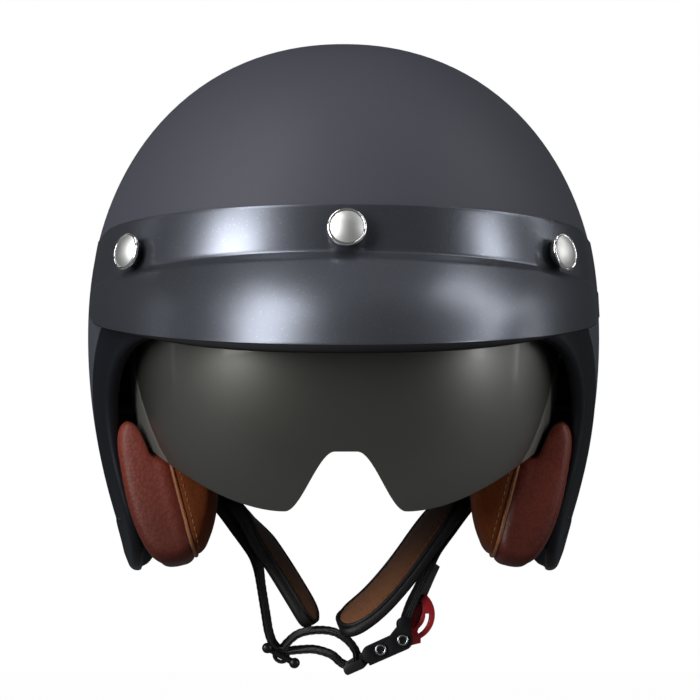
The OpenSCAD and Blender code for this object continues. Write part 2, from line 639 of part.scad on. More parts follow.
// Cable stop on the left plate, behind the hub
wire_y = hinge_y + disc_r + 1.4;
wire_x = arm_x + arm_t / 2;
stop_z = hinge_z - 14;
sheath_d = 5;
hub_end = arm_x + arm_t + 0.7;
module along_hinge(x, t, d) {
    translate([x, hinge_y, hinge_z]) rotate([0, 90, 0]) cylinder(d = d, h = t, $fn = 64);
}
module pivot_plate(side) {
    low = pivot_floor_x + face_gap;
    color("#2c2d31") at_head() mirror([side < 0 ? 1 : 0, 0, 0]) difference() {
        union() {
            along_hinge(low, 2.8, plate_d);
            along_hinge(low, arm_x - 0.4 - low, hub_d + 6);
            along_hinge(low, hub_end - low, hub_d);
            if (side > 0) translate([low, wire_y - 5, stop_z - 5]) cube([wire_x + 4 - low, 10, 6]);
        }
        along_hinge(low - 1, hub_end - low + 2, screw_d + 0.1);
        if (side > 0) translate([wire_x, wire_y, stop_z - 6]) cylinder(d = sheath_d + 0.6, h = 4, $fn = 32);
        if (side > 0) translate([wire_x, wire_y, stop_z - 3]) cylinder(d = 2.2, h = 6, $fn = 32);
    }
}
module pivot_plate_left() { pivot_plate(1); }
module pivot_plate_right() { pivot_plate(-1); }
washer_x = arm_x + arm_t + 1;
module pivot_washers() {
    color("silver") at_head() for (s = [0, 1]) mirror([s, 0, 0]) hinge_ring(washer_x, 1, hub_d + 7, screw_d + 0.4);
}
module pivot_screws() {
    color("silver") at_head() for (s = [0, 1]) mirror([s, 0, 0]) {
        along_hinge(washer_x + 1.2, 2.2, 8);
        along_hinge(pivot_floor_x + 2, washer_x - pivot_floor_x - 0.5, screw_d);
    }
}

// Slide lever under the left edge: guide, cover, screws and slider in one turned frame
guide_y = 50;
guide_z = 42;
guide_inset = 6.45;
guide_p = [skin_x(guide_y, guide_z, shell_t) - guide_inset, guide_y, guide_z];
guide_a = 22;
guide_tilt = 20;
guide_len = 36;
guide_tall = 12;
slot_half = 13;
socket_x = -3.3;
slide_travel = disc_r * lens_lift * PI / 180;
module at_guide() {
    translate(guide_p) rotate([0, guide_tilt, guide_a]) children();
}
guide_bolt_z = 4.1;
guide_back = -6.4;
module guide_drill(d, x, h) {
    for (s = [-1, 1]) translate([x, s * (guide_len / 2 - 2), guide_bolt_z]) rotate([0, 90, 0]) cylinder(d = d, h = h, $fn = 24);
}
module lever_guide() {
    color("#1c1c1f") at_head() at_guide() difference() {
        translate([0, -guide_len / 2, -guide_tall / 2]) cube([2.4, guide_len, guide_tall]);
        guide_drill(2.1, -1, 3);
    }
}
module guide_cover() {
    color("#1c1c1f") at_head() at_guide() difference() {
        translate([guide_back, -guide_len / 2, -guide_tall / 2]) cube([-guide_back - face_gap, guide_len, guide_tall]);
        translate([-4, -slot_half, -3.8]) cube([5, 2 * slot_half, 7.6]);
        translate([-4, -slot_half, -guide_tall / 2 - 1]) cube([2.9, 2 * slot_half, 5]);
        translate([socket_x, -slot_half - 6, 0]) rotate([-90, 0, 0]) cylinder(d = sheath_d + 0.1, h = 4, $fn = 24);
        translate([socket_x, -slot_half - 3, 0]) rotate([-90, 0, 0]) cylinder(d = 2.2, h = 5, $fn = 24);
        guide_drill(2.4, guide_back - 1, -guide_back + 1);
    }
}
module guide_screws() {
    color("silver") at_head() at_guide() {
        guide_drill(2, guide_back - 0.8, 2 - guide_back);
        guide_drill(3.6, guide_back - 1.7, 1.4);
    }
}
module visor_lever() {
    color("#17171a") at_head() at_guide() translate([-3.7, -slide_travel / 2, 0]) {
        translate([0, -4, -3.4]) cube([3.1, 8, 6.8]);
        translate([0, -3, -34]) cube([2.4, 6, 31]);
        translate([-1.6, -5, -36]) cube([4, 10, 7]);
    }
}

// Control cable: sheath along its route, a short bare wire at the arm's disc, and the nipple in the disc
wire_d = 1.6;
// Point in the guide's frame, and the middle of its cable socket
function guide_point(v) = let (
    u = [v[0] * cos(guide_tilt) + v[2] * sin(guide_tilt), v[1], v[2] * cos(guide_tilt) - v[0] * sin(guide_tilt)]
) guide_p + [u[0] * cos(guide_a) - u[1] * sin(guide_a), u[0] * sin(guide_a) + u[1] * cos(guide_a), u[2]];
// The sheath's way up the inside of the shell: distance in from the wall, depth and height
cable_along = [[4.96, 26.4, 45.4], [4.84, 25.6, 50], [6.28, 25.2, 57], [8.71, 23.6, 64], [11.75, 19.4, 70.5],
    [14.86, 14, 76], [17.56, 9.4, 80]];
cable_route = concat([for (v = [2.2, 5.8, 8.2]) guide_point([socket_x, -slot_half - v, 0])],
    [for (c = cable_along) [skin_x(c[1], c[2], shell_t) - c[0], c[1], c[2]]],
    [[wire_x, wire_y + 0.3, stop_z - 7.5], [wire_x, wire_y, stop_z - 4.5], [wire_x, wire_y, stop_z - 2.3]]);
function tube_ring(path, i, r, k) = let (
    n = len(path),
    way = unit(path[min(n - 1, i + 1)] - path[max(0, i - 1)]),
    u = unit(cross(way, abs(way[0]) < 0.8 ? [1, 0, 0] : [0, 0, 1])),
    v = cross(way, u)
) [for (b = [0:k - 1]) path[i] + r * (cos(360 * b / k) * u + sin(360 * b / k) * v)];
function smooth(path, steps) = let (n = len(path)) concat([for (i = [0:n - 2]) for (j = [0:steps - 1]) let (
    t = j / steps, a = path[max(0, i - 1)], b = path[i], c = path[i + 1], d = path[min(n - 1, i + 2)]
) b + 0.5 * t * (c - a + t * (2 * a - 5 * b + 4 * c - d + t * (3 * (b - c) + d - a)))], [path[n - 1]]);
module tube(path, r, k) {
    swept([for (i = [0:len(path) - 1]) tube_ring(path, i, r, k)]);
}
module cable_sheath() {
    color("#101012") at_head() tube(smooth(cable_route, 2), sheath_d / 2, 8);
}
module cable_wire() {
    color("silver") at_head() translate([wire_x, wire_y, stop_z - 2]) cylinder(d = wire_d, h = hinge_z - stop_z + 2, $fn = 24);
}
nipple_a = 52;
nipple_r = disc_r - 3;
nipple_d = 3.2;
module at_nipple() {
    translate([arm_x, hinge_y + nipple_r * cos(nipple_a), hinge_z + nipple_r * sin(nipple_a)]) rotate([0, 90, 0]) children();
}
module cable_nipple() {
    color("silver") at_head() at_nipple() translate([0, 0, -0.4]) cylinder(d = nipple_d, h = arm_t + 0.8, $fn = 24);
}

// Strap anchors: slotted plates inside the shell and the rivets that hold them
module anchor_plate(k) {
    color("#8d8f93") at_head() on_shell(anchor_q[k]) translate([0, 0, -shell_t - 3.2]) difference() {
        translate([-9, -15, 0]) cube([25, 30, 2]);
        translate([slot_x - 2.25, -web_w / 2 - 1.5, -1]) cube([4.5, web_w + 3, 4]);
        translate([0, 0, -1]) cylinder(d = rivet_d + 0.2, h = 4, $fn = 32);
    }
}
module anchor_plate_left() { anchor_plate(1); }
module anchor_plate_right() { anchor_plate(0); }
module anchor_rivets() {
    color("#2a2b2f") at_head() for (q = anchor_q) on_shell(q) {
        translate([0, 0, -shell_t - 4]) cylinder(d = rivet_d, h = shell_t + 3, $fn = 32);
        translate([0, 0, -shell_t - 4.7]) cylinder(d = rivet_d + 5, h = 1.2, $fn = 48);
        translate([0, 0, face_gap - sink]) cylinder(d1 = rivet_d, d2 = rivet_d - 1.2 + 2 * sink, h = sink - 2 * face_gap, $fn = 48);
    }
}

// Chin strap: ribbons swept along hand-set routes, turned so that their inner faces look a little forward
strap_tilt = 20;
strap_y = 2;
// Middle of an anchor plate's slot, where its webbing starts
slot_x = 10.25;
slot_p = let (n = skin_n(anchor_q[1]), b = acos(n[2]), c = atan2(n[1], n[0]))
    skin(anchor_q[1], 0) - (shell_t + 2.2) * n + slot_x * [cos(b) * cos(c), cos(b) * sin(c), -sin(b)];
// Upper run, as shares of the way from the jaw point to the slot, with its depth
jaw_x = 44;
jaw_z = 11;
strap_run = [[1, 1, anchor_y], [0.932, 0.968, anchor_y], [0.745, 0.961, anchor_y], [0.544, 0.929, anchor_y],
    [0.38, 0.816, anchor_y], [0.256, 0.605, 5.5], [0.124, 0.316, 4.5], [0, 0, 3.5]];
strap_top = [for (r = strap_run) [mix(jaw_x, slot_p[0] - 2.9, r[0]), r[2], mix(jaw_z, slot_p[2] - 2, r[1])]];
strap_right_low = [[39.8, 2.5, 0], [36.6, strap_y, -7], [32.6, strap_y, -15], [29.7, strap_y, -23.1]];
strap_left_low = [[41.4, 3, 3], [39.6, 2.5, -8], [37.6, strap_y, -20], [36, strap_y, -29], [33.4, strap_y, -35],
    [28.6, strap_y, -37.8], [22, strap_y, -37.4], [14, strap_y, -37.2], [6, strap_y, -39.6], [1.4, strap_y, -43.4]];
tail_route = [[-27.4, strap_y, -33.8], [-21.5, strap_y, -29.6], [-12.5, strap_y, -27.9], [-4, strap_y, -29],
    [2.4, strap_y, -33.2], [6.2, strap_y, -38.6]];
function mirrored(route) = [for (p = route) [-p[0], p[1], p[2]]];
// Ring of a ribbon at a point of its route: wide along Y, turned by a tilt about the route
function ribbon_ring(path, i, side, w, t, tilt, k) = let (
    n = len(path),
    way = unit(path[min(n - 1, i + 1)] - path[max(0, i - 1)]),
    inward = side * unit([way[2], 0, -way[0]]),
    wide = cos(tilt) * [0, 1, 0] + sin(tilt) * inward,
    out = unit(cross(way, wide))
) k == 4 ? [for (c = [[-1, -1], [1, -1], [1, 1], [-1, 1]]) path[i] + c[0] * wide * w / 2 + c[1] * out * t / 2]
    : [for (b = [0:k - 1]) path[i] + wide * w / 2 * power(cos(360 * b / k), 0.7)
        + out * t / 2 * power(sin(360 * b / k), 0.85)];
module ribbon(path, side, w, t) {
    swept([for (i = [0:len(path) - 1]) ribbon_ring(path, i, side, w, t, strap_tilt * ease(i / 8) * ease((18 - i) / 6), 4)]);
}
module strap_right() {
    // the half on the wearer's right
    color("#19191b") at_head() ribbon(smooth(mirrored(concat(strap_top, strap_left_low)), 2), -1, web_w, web_t);
}
module strap_left() {
    // the half on the wearer's left
    color("#19191b") at_head() ribbon(smooth(concat(strap_top, strap_right_low), 2), 1, web_w, web_t);
}
module strap_tail() {
    color("#19191b") at_head() swept([let (path = smooth(tail_route, 3)) for (i = [0:len(path) - 1])
        ribbon_ring(path, i, -1, web_w, web_t, 0, 4)]);
}
pad_route_left = [[56.4, 4.6, 36.5], [48.5, 4, 27], [40.6, 3.4, 16.5], [32.4, 2.8, 5], [24, 2.4, -5.6], [14.8, 2, -15.4],
    [5.5, 2, -22.6], [-2.5, 2, -26.4]];
pad_route_right = [[-56.4, 4.6, 36.5], [-48.5, 4, 26.6], [-39.6, 3.4, 14.4], [-31.6, 2.8, 2.6], [-24.6, 2.4, -8.6],
    [-19, 2, -18], [-15, 2, -25.6]];
module strap_pad(route, side) {
    path = smooth(route, 2);
    n = len(path) - 1;
    color("#8a4a26") at_head() swept([for (i = [0:n]) let (
        f = pow(max(0, 1 - pow(abs(2 * i / n - 1), 8)), 0.4)
    ) ribbon_ring(path, i, side, strap_pad_w * mix(0.45, 1, f), strap_pad_t * mix(0.5, 1, f), strap_tilt, 10)]);
}
module strap_pad_left() { strap_pad(pad_route_left, 1); }
module strap_pad_right() { strap_pad(pad_route_right, -1); }

// Steel slider on the right-hand half of the strap
slider_p = [-30.1, strap_y, -40.2];
slider_a = 29;
module strap_slider() {
    color("#5b5d62") at_head() translate(slider_p) rotate([0, slider_a, 0]) {
        for (x = [-7.4, 0, 7.4]) translate([x, 0, 0]) rotate([90, 0, 0]) cylinder(d = 3, h = web_w + 6, center = true, $fn = 32);
        for (s = [-1, 1]) translate([-7.4, s * (web_w / 2 + 1.9) - 1.1, -1.2]) cube([14.8, 2.2, 2.4]);
    }
}

// Ratchet buckle, drawn in a frame at its lever pin with X along the tongue
buckle_p = [28.2, strap_y, -32.8];
buckle_a = -23.5;
wall_in = 12.2;
wall_t = 1.6;
guide_pin_x = -11.6;
module at_buckle() {
    translate(buckle_p) rotate([0, buckle_a, 0]) children();
}
module cross_rod(x, z, d, half) {
    translate([x, 0, z]) rotate([90, 0, 0]) cylinder(d = d, h = 2 * half, center = true, $fn = 48);
}
bar_x = 4;
bar_z = 7;
module buckle_frame() {
    color("#111113") at_head() at_buckle() difference() {
        union() {
            for (s = [-1, 1]) translate([0, s * (wall_in + wall_t / 2) + wall_t / 2, 0]) rotate([90, 0, 0])
                linear_extrude(wall_t) union() {
                    translate([0, 0]) circle(r = 5, $fn = 48);
                    translate([-16, -0.4]) circle(r = 4.6, $fn = 48);
                    translate([bar_x, bar_z]) circle(r = 3.2, $fn = 48);
                    polygon([[-16, -5], [0, -5], [5, 0], [7.2, 7], [0.8, 7], [-4, 4.4], [-16, 4.2]]);
                }
            translate([-19, -wall_in - 0.5, -5]) cube([15, 2 * wall_in + 1, 1.2]);
            cross_rod(bar_x, bar_z, 3, wall_in + 0.5);
        }
        cross_rod(0, 0, pin_d + 0.1, wall_in + 4);
        cross_rod(guide_pin_x, 0, pin_d + 0.1, wall_in + 4);
    }
}
module buckle_pins() {
    half = wall_in + wall_t;
    color("silver") at_head() at_buckle() for (x = [guide_pin_x, 0]) difference() {
        union() {
            cross_rod(x, 0, pin_d, half + 0.6);
            for (s = [-1, 1]) translate([x, s * (half + 0.55), 0]) rotate([90, 0, 0])
                cylinder(d = pin_d + 2.2, h = 0.9, center = true, $fn = 48);
        }
        for (s = [-1, 1]) translate([x, s * (half + 1), 0]) rotate([90, 0, 0]) cylinder(d = 2, h = 3, center = true, $fn = 32);
    }
}
tongue_w = 18;
teeth = 7;
module ratchet_tongue() {
    color("#1b1b1d") at_head() at_buckle() {
        translate([-24, -tongue_w / 2, -3.7]) cube([18.6, tongue_w, 1]);
        for (i = [0:teeth - 1]) translate([-20 + 2 * i, tongue_w / 2, -2.75]) rotate([90, 0, 0])
            linear_extrude(tongue_w) polygon([[0, 0], [1.9, 0], [1.9, 0.45], [0, 0.1]]);
        difference() {
            translate([-31, -web_w / 2 - 2.4, -4.6]) cube([9, web_w + 4.8, 4.4]);
            translate([-28.5, -web_w / 2 - 0.6, -6]) cube([3.4, web_w + 1.2, 8]);
        }
    }
}
crescent_c = [31, -20.5];
module release_lever() {
    hub = [buckle_p[0], buckle_p[2]];
    color("#c31420") at_head() translate([0, strap_y, 0]) rotate([90, 0, 0]) difference() {
        union() {
            linear_extrude(14, center = true) intersection() {
                difference() {
                    translate(crescent_c) circle(r = 13, $fn = 96);
                    translate(crescent_c + [-4, 2.3]) circle(r = 11, $fn = 96);
                }
                translate(crescent_c) polygon([[0, 0], [-3, -16], [16, -16], [16, 11], [9.6, 10.8]]);
            }
            linear_extrude(11, center = true) {
                translate(hub) circle(r = 3.9, $fn = 48);
                polygon([hub + [0, -3.6], hub + [9, -1.4], hub + [9, 2.2], hub + [0, 3.6]]);
                polygon([hub + [0, 3], hub + [0, -3], hub + [-5.4, -4.6], hub + [-6, -3.9]]);
            }
        }
        translate(hub) cylinder(d = pin_d + 0.12, h = 20, center = true, $fn = 48);
        linear_extrude(16, center = true) intersection() {
            translate(crescent_c) difference() {
                circle(r = 10.6, $fn = 96);
                circle(r = 8.4, $fn = 96);
            }
            translate(crescent_c) polygon([[0, 0], [10, -18], [18, 0], [18, 1]]);
        }
    }
}
spring_turns = 3;
module lever_spring() {
    color("silver") at_head() at_buckle() translate([0, 7.6, 0]) rotate([-90, 0, 0])
        tube([for (i = [0:8 * spring_turns]) [3 * cos(45 * i), 3 * sin(45 * i), 0.5 + 1.15 * i / 8]], 0.45, 6);
}

shell();
edge_trim();
impact_liner();
crown_pad();
brow_pad();
neck_roll();
cheek_foam_left();
cheek_foam_right();
cheek_pad_left();
cheek_pad_right();
peak();
snap_studs();
snap_sockets();
snap_collars();
snap_caps();
sun_visor();
visor_bushes();
pivot_plate_left();
pivot_plate_right();
pivot_washers();
pivot_screws();
lever_guide();
guide_cover();
guide_screws();
visor_lever();
cable_sheath();
cable_wire();
cable_nipple();
anchor_plate_left();
anchor_plate_right();
anchor_rivets();
strap_left();
strap_right();
strap_pad_left();
strap_pad_right();
strap_slider();
strap_tail();
ratchet_tongue();
buckle_frame();
buckle_pins();
release_lever();
lever_spring();
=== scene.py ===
import json
import bmesh
import bpy
import numpy as np
from mathutils import Matrix, Vector
from mathutils.bvhtree import BVHTree

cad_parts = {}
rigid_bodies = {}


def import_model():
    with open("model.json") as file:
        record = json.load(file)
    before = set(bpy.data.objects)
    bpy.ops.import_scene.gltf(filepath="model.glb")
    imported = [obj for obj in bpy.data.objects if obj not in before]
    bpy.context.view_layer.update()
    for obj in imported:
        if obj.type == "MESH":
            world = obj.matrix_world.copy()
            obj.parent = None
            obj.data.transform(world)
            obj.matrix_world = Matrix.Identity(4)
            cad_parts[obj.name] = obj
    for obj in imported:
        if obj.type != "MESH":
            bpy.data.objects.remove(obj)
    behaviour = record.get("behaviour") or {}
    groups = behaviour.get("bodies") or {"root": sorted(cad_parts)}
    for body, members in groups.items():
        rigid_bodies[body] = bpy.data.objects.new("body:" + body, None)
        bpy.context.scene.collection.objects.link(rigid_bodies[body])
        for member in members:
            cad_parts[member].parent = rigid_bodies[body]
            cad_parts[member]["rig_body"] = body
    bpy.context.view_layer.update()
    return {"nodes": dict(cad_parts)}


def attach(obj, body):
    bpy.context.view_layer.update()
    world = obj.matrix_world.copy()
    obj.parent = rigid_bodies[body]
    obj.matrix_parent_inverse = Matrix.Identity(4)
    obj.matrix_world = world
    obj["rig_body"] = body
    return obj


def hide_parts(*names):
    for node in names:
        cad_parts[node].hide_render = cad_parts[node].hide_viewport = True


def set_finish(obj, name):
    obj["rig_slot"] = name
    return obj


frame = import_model()
nodes = frame["nodes"]


# Camera
# The helmet is seen from straight in front and a little below its middle, from far enough away
# that the peak and the rear of the shell are drawn at nearly one scale.
def add_object(name, data, matrix=Matrix()):
    piece = bpy.data.objects.new(name, data)
    piece.matrix_world = matrix
    bpy.context.scene.collection.objects.link(piece)
    return piece


def looking(place, way):
    """The matrix of a camera or a lamp that looks along a direction from a place."""
    return Matrix.Translation(place) @ way.to_track_quat("-Z", "Y").to_matrix().to_4x4()


lens_data = bpy.data.cameras.new("camera")
lens_data.lens, lens_data.sensor_width = 147.6, 36.0
lens_data.shift_x, lens_data.clip_end = 0.009, 30.0
eye, toward = Vector((-0.0146, -1.3923, -0.2503)), Vector((0.0105, 0.9944, 0.1045)).normalized()
bpy.context.scene.camera = add_object("camera", lens_data, looking(eye, toward))
bpy.context.scene.view_settings.view_transform = "Standard"


# Studio
# A pale floor under the helmet, a white surround, and soft boxes: a tall pair to the left of the
# face and a narrower pair to its right, a dim wide one overhead, and two thin strips at the sides.
def add_node(tree, kind, *feeds, **settings):
    """A shader node. The feeds go to its first inputs in order and the settings to attributes or
    inputs by name. Each is a value, or an output that is linked to the input."""
    node = tree.nodes.new("ShaderNode" + kind)
    for key, value in [*settings.items(), *enumerate(feeds)]:
        if isinstance(key, str) and hasattr(node, key):
            setattr(node, key, value)
            continue
        socket = node.inputs[key.replace("_", " ") if isinstance(key, str) else key]
        if isinstance(value, bpy.types.NodeSocket):
            tree.links.new(value, socket)
        else:
            socket.default_value = value
    return node


def maths(tree, operation, *feeds):
    return add_node(tree, "Math", *feeds, operation=operation).outputs[0]


def in_range(tree, value, **limits):
    return add_node(tree, "MapRange", value, **limits).outputs[0]


def scaled(tree, colour, share):
    return add_node(tree, "VectorMath", colour, operation="SCALE", Scale=share).outputs[0]


def shader_tree(name):
    material = bpy.data.materials.new(name)
    material.use_nodes = True
    material.node_tree.nodes.clear()
    return material, material.node_tree


def two_looks(tree, lit, seen, share, end):
    """Ends a tree with one shader for light and another for what the camera sees directly."""
    path = add_node(tree, "LightPath").outputs
    mask = maths(tree, "MAXIMUM", path["Is Camera Ray"], path["Is Transmission Ray"])
    mask = mask if share == 1 else maths(tree, "MULTIPLY", mask, share)
    add_node(tree, end, add_node(tree, "MixShader", mask, lit.outputs[0], seen.outputs[0]).outputs[0])


FLOOR_Z, FLOOR_REACH = -0.315, 8
floor_mesh = bpy.data.meshes.new("floor")
corners = ((-1, -1), (1, -1), (1, 1), (-1, 1))
floor_mesh.from_pydata([(x * FLOOR_REACH, y * FLOOR_REACH, FLOOR_Z) for x, y in corners], [], [(0, 1, 2, 3)])
floor = add_object("floor", floor_mesh)
floor_paint, tree = shader_tree("floor_paint")
lit, seen = add_node(tree, "BsdfDiffuse", (0.22, 0.22, 0.22, 1)), add_node(tree, "Emission", (1, 1, 1, 1), 1.0)
two_looks(tree, lit, seen, 0.985, "OutputMaterial")
floor_mesh.materials.append(floor_paint)

world = bpy.data.worlds.new("studio")
bpy.context.scene.world = world
world.use_nodes = True
tree = world.node_tree
tree.nodes.clear()
lit = add_node(tree, "Background", (0.93, 0.96, 1.0, 1), 0.045)
seen = add_node(tree, "Background", (1, 1, 1, 1), 1.0)
two_looks(tree, lit, seen, 1, "OutputWorld")

# Each box hangs round from the face and up by its angles, at a distance from the helmet
AIM, LIGHT_TINT = Vector((0, -0.08, -0.07)), (0.97, 0.98, 1.0)
for name, around, up, distance, width, height, watts in (
        ("left_low_box", -48, 12, 1.9, 0.7, 1.15, 28), ("left_high_box", -50, 52, 1.9, 0.55, 1.1, 14),
        ("right_low_box", 66, 12, 1.9, 0.35, 1.15, 10), ("right_high_box", 84, 48, 1.9, 0.3, 1.1, 5.5),
        ("overhead_box", 0, 86, 2.0, 1.6, 1.0, 1), ("left_strip", -100, 14, 1.9, 0.12, 1.6, 0.7),
        ("right_strip", 100, 14, 1.9, 0.12, 1.6, 2.6)):
    lamp = bpy.data.lights.new(name, "AREA")
    lamp.shape = "RECTANGLE"
    lamp.size, lamp.size_y, lamp.energy, lamp.color = width, height, watts, LIGHT_TINT
    around, up = np.radians(around), np.radians(up)
    way = Vector((np.sin(around) * np.cos(up), -np.cos(around) * np.cos(up), np.sin(up)))
    add_object(name, lamp, looking(AIM + distance * way, -way))

# Shell
# A moulded shell about 3 mm thick in matt charcoal lacquer. It is one closed form from the brow to
# the nape. Points are in millimetres above the cheek edge, and q is a place on the dome.
SEAT_Z = 212.0
SHELL_HALF, SHELL_FRONT, SHELL_REAR, SHELL_T = 124.0, 134.0, 142.0, 3.2
CROWN_Z, WIDE_Z = 256.0, 115.0
SIDE_TAPER, NAPE_TAPER = 264.0, 190.0
PLAN_N, DOME_N = 2.1, 2.15
DROP = (CROWN_Z - WIDE_Z) * np.pi / 2
OUTER_DOME = (SHELL_HALF, SHELL_FRONT, SHELL_REAR, CROWN_Z - WIDE_Z)
HOLLOW_DOME = (80.0, 100.0, 104.0, 105.0)


def power(value, exponent):
    return np.sign(value) * np.abs(value) ** exponent


def mixed(a, b, t):
    return a + (b - a) * t


def smooth_step(value):
    value = np.clip(value, 0, 1)
    return value * value * (3 - 2 * value)


def unit(v):
    return v / np.linalg.norm(v, axis=-1, keepdims=True)


def angles(*span):
    """Angles in radians from the first to before the last, in steps, given in degrees."""
    return np.radians(np.arange(*span))


def unit_r(c, s, n):
    return (np.abs(c) ** n + np.abs(s) ** n + 1e-12) ** (-1 / n)


def tapers(h):
    """The shares of the full width that the side and the nape keep at a height off the widest level."""
    return 1 - (h / SIDE_TAPER) ** 2, 1 - (h / NAPE_TAPER) ** 2


def dome(q, size, depth=0.0):
    """The point of a dome at q, which is its crown at 0, its widest level at 1, and below it beyond 1."""
    rho = np.linalg.norm(q, axis=-1)
    e = q / np.maximum(rho, 1e-9)[..., None]
    m = unit_r(e[..., 0], e[..., 1], PLAN_N)
    psi = np.pi / 2 * (1 - rho)
    upper = rho < 1
    r = np.where(upper, unit_r(np.cos(psi), np.sin(psi), DOME_N), 1)
    h = np.where(upper, (size[3] - depth) * r * np.sin(psi), -(rho - 1) * DROP)
    side, rear = (np.where(upper, r * np.cos(psi), share) for share in tapers(h))
    x = (size[0] - depth) * side * m * e[..., 0]
    y = np.where(e[..., 1] < 0, (size[1] - depth) * side, (size[2] - depth) * rear) * m * e[..., 1]
    return np.stack([x, y, WIDE_Z + h], -1)


def skin(q, depth=0.0):
    return dome(q, OUTER_DOME, depth)


def skin_slopes(q, e=0.002):
    """How the skin's point moves with each part of q."""
    return skin(q + (e, 0)) - skin(q - (e, 0)), skin(q + (0, e)) - skin(q - (0, e))


def rim_point(y, z):
    """The place of a point of the rim, given by its depth and height."""
    side, rear = tapers(z - WIDE_Z)
    cy = y / (SHELL_FRONT * side if y < 0 else SHELL_REAR * rear)
    cx = max(0.0, 1 - abs(cy) ** PLAN_N) ** (1 / PLAN_N)
    return (1 - (z - WIDE_Z) / DROP) * unit(np.array([cx, cy]))


RIM = [rim_point(y, z) for y, z in (
    (-SHELL_FRONT * tapers(5)[0], 110), (-124, 110), (-104, 108.5), (-82, 103.5), (-68, 93),
    (-57, 76), (-52, 56), (-50, 38), (-47, 22), (-37, 10), (-20, 4.6), (2, 4.6), (26, 8), (50, 17), (74, 31),
    (97, 48), (114, 63), (SHELL_REAR, 72))]
RIM_LOOP = np.array(RIM + [(-p[0], p[1]) for p in RIM[-2:0:-1]])
CHEEK_TIP, NAPE, FRONT_CROWDING = 8, 14, 1.5


def between(a, b, c, d, t):
    """A smooth curve from b to c, with a before it and d after it."""
    return b + 0.5 * t * (c - a + t * (2 * a - 5 * b + 4 * c - d + t * (3 * (b - c) + d - a)))


def rim(s):
    s = np.asarray(s, float)
    i = np.floor(s).astype(int)
    return between(*(RIM_LOOP[(i + k) % len(RIM_LOOP)] for k in (-1, 0, 1, 2)), (s - i)[..., None])


def shell_q(u, v):
    """A patch whose four corners are the two cheek tips and two places at the nape."""
    n = len(RIM_LOOP)
    brow = rim(CHEEK_TIP * power(2 * u - 1, FRONT_CROWDING))
    nape = rim(n - NAPE + (2 * NAPE - n) * u)
    side = rim(CHEEK_TIP + (NAPE - CHEEK_TIP) * v)
    u, v = u[..., None], v[..., None]
    front_chord = (1 - u) * rim(-CHEEK_TIP) + u * rim(CHEEK_TIP)
    nape_chord = (1 - u) * rim(n - NAPE) + u * rim(NAPE)
    return (1 - v) * (brow - front_chord) + v * (nape - nape_chord) + (1 - u) * side * (-1, 1) + u * side


def metres(points):
    return (np.asarray(points, float).reshape(-1, 3) - (0, 0, SEAT_Z)) / 1000.0


def placed(name, mesh, body, slot, replaces=()):
    """An object of a mesh, on a CAD body, in a material slot, standing for CAD nodes."""
    piece = add_object(name, mesh)
    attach(piece, body)
    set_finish(piece, slot)
    if replaces:
        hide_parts(*replaces)
    return piece


def make(name, form, materials, body, slot, replaces=(), smooth=True, pick=None):
    """A piece from a form, which is its vertices in millimetres and its faces."""
    mesh = bpy.data.meshes.new(name)
    mesh.from_pydata(metres(form[0]).tolist(), [], [list(map(int, f)) for f in form[1]])
    for material in materials if isinstance(materials, list) else [materials]:
        mesh.materials.append(material)
    if pick is not None:
        mesh.polygons.foreach_set("material_index", np.asarray(pick, np.int32))
    mesh.polygons.foreach_set("use_smooth", [smooth] * len(mesh.polygons))
    mesh.validate()
    mesh.update()
    return placed(name, mesh, body, slot, replaces)


def modify(piece, kind, **settings):
    modifier = piece.modifiers.new(kind.lower(), kind)
    for key, value in settings.items():
        setattr(modifier, key, value)


def shape_of(piece):
    """The mesh of an object as it is after its modifiers."""
    bpy.context.view_layer.update()
    return bpy.data.meshes.new_from_object(piece.evaluated_get(bpy.context.evaluated_depsgraph_get()))


def apply_modifiers(piece):
    shape = shape_of(piece)
    piece.modifiers.clear()
    piece.data = shape


def grid_faces(rows, cols, start=0, turn=False, around=False):
    i, j = np.meshgrid(np.arange(rows - 1), np.arange(cols if around else cols - 1), indexing="ij")
    a = start + i * cols + j
    b = start + i * cols + (j + 1) % cols
    quads = np.stack([a, a + cols, b + cols, b], -1).reshape(-1, 4)
    return quads[:, ::-1] if turn else quads


def walled(outer, inner):
    """The form of a wall between two grids of points."""
    rows, cols = outer.shape[:2]
    n = rows * cols
    edge = [r * cols for r in range(rows)] + [(rows - 1) * cols + c for c in range(1, cols)]
    edge += [r * cols + cols - 1 for r in range(rows - 2, -1, -1)] + list(range(cols - 2, 0, -1))
    edge = np.array(edge)
    after = np.roll(edge, -1)
    strip = np.stack([edge, edge + n, after + n, after], -1)
    faces = np.concatenate([grid_faces(rows, cols), grid_faces(rows, cols, n, True), strip])
    return np.concatenate([outer.reshape(-1, 3), inner.reshape(-1, 3)]), faces


def loft(rings, closed=False):
    """The form of a skin through rings of points, with fan caps at open ends."""
    rings = np.asarray(rings, float)
    n, k = rings.shape[:2]
    points = rings.reshape(-1, 3)
    faces = grid_faces(n, k, 0, False, True).tolist()
    last = (n - 1) * k
    if closed:
        faces += [[last + c, c, (c + 1) % k, last + (c + 1) % k] for c in range(k)]
    else:
        points = np.concatenate([points, [rings[0].mean(0), rings[-1].mean(0)]])
        faces += [[n * k, c, (c + 1) % k] for c in range(k)]
        faces += [[n * k + 1, last + (c + 1) % k, last + c] for c in range(k)]
    return points, faces


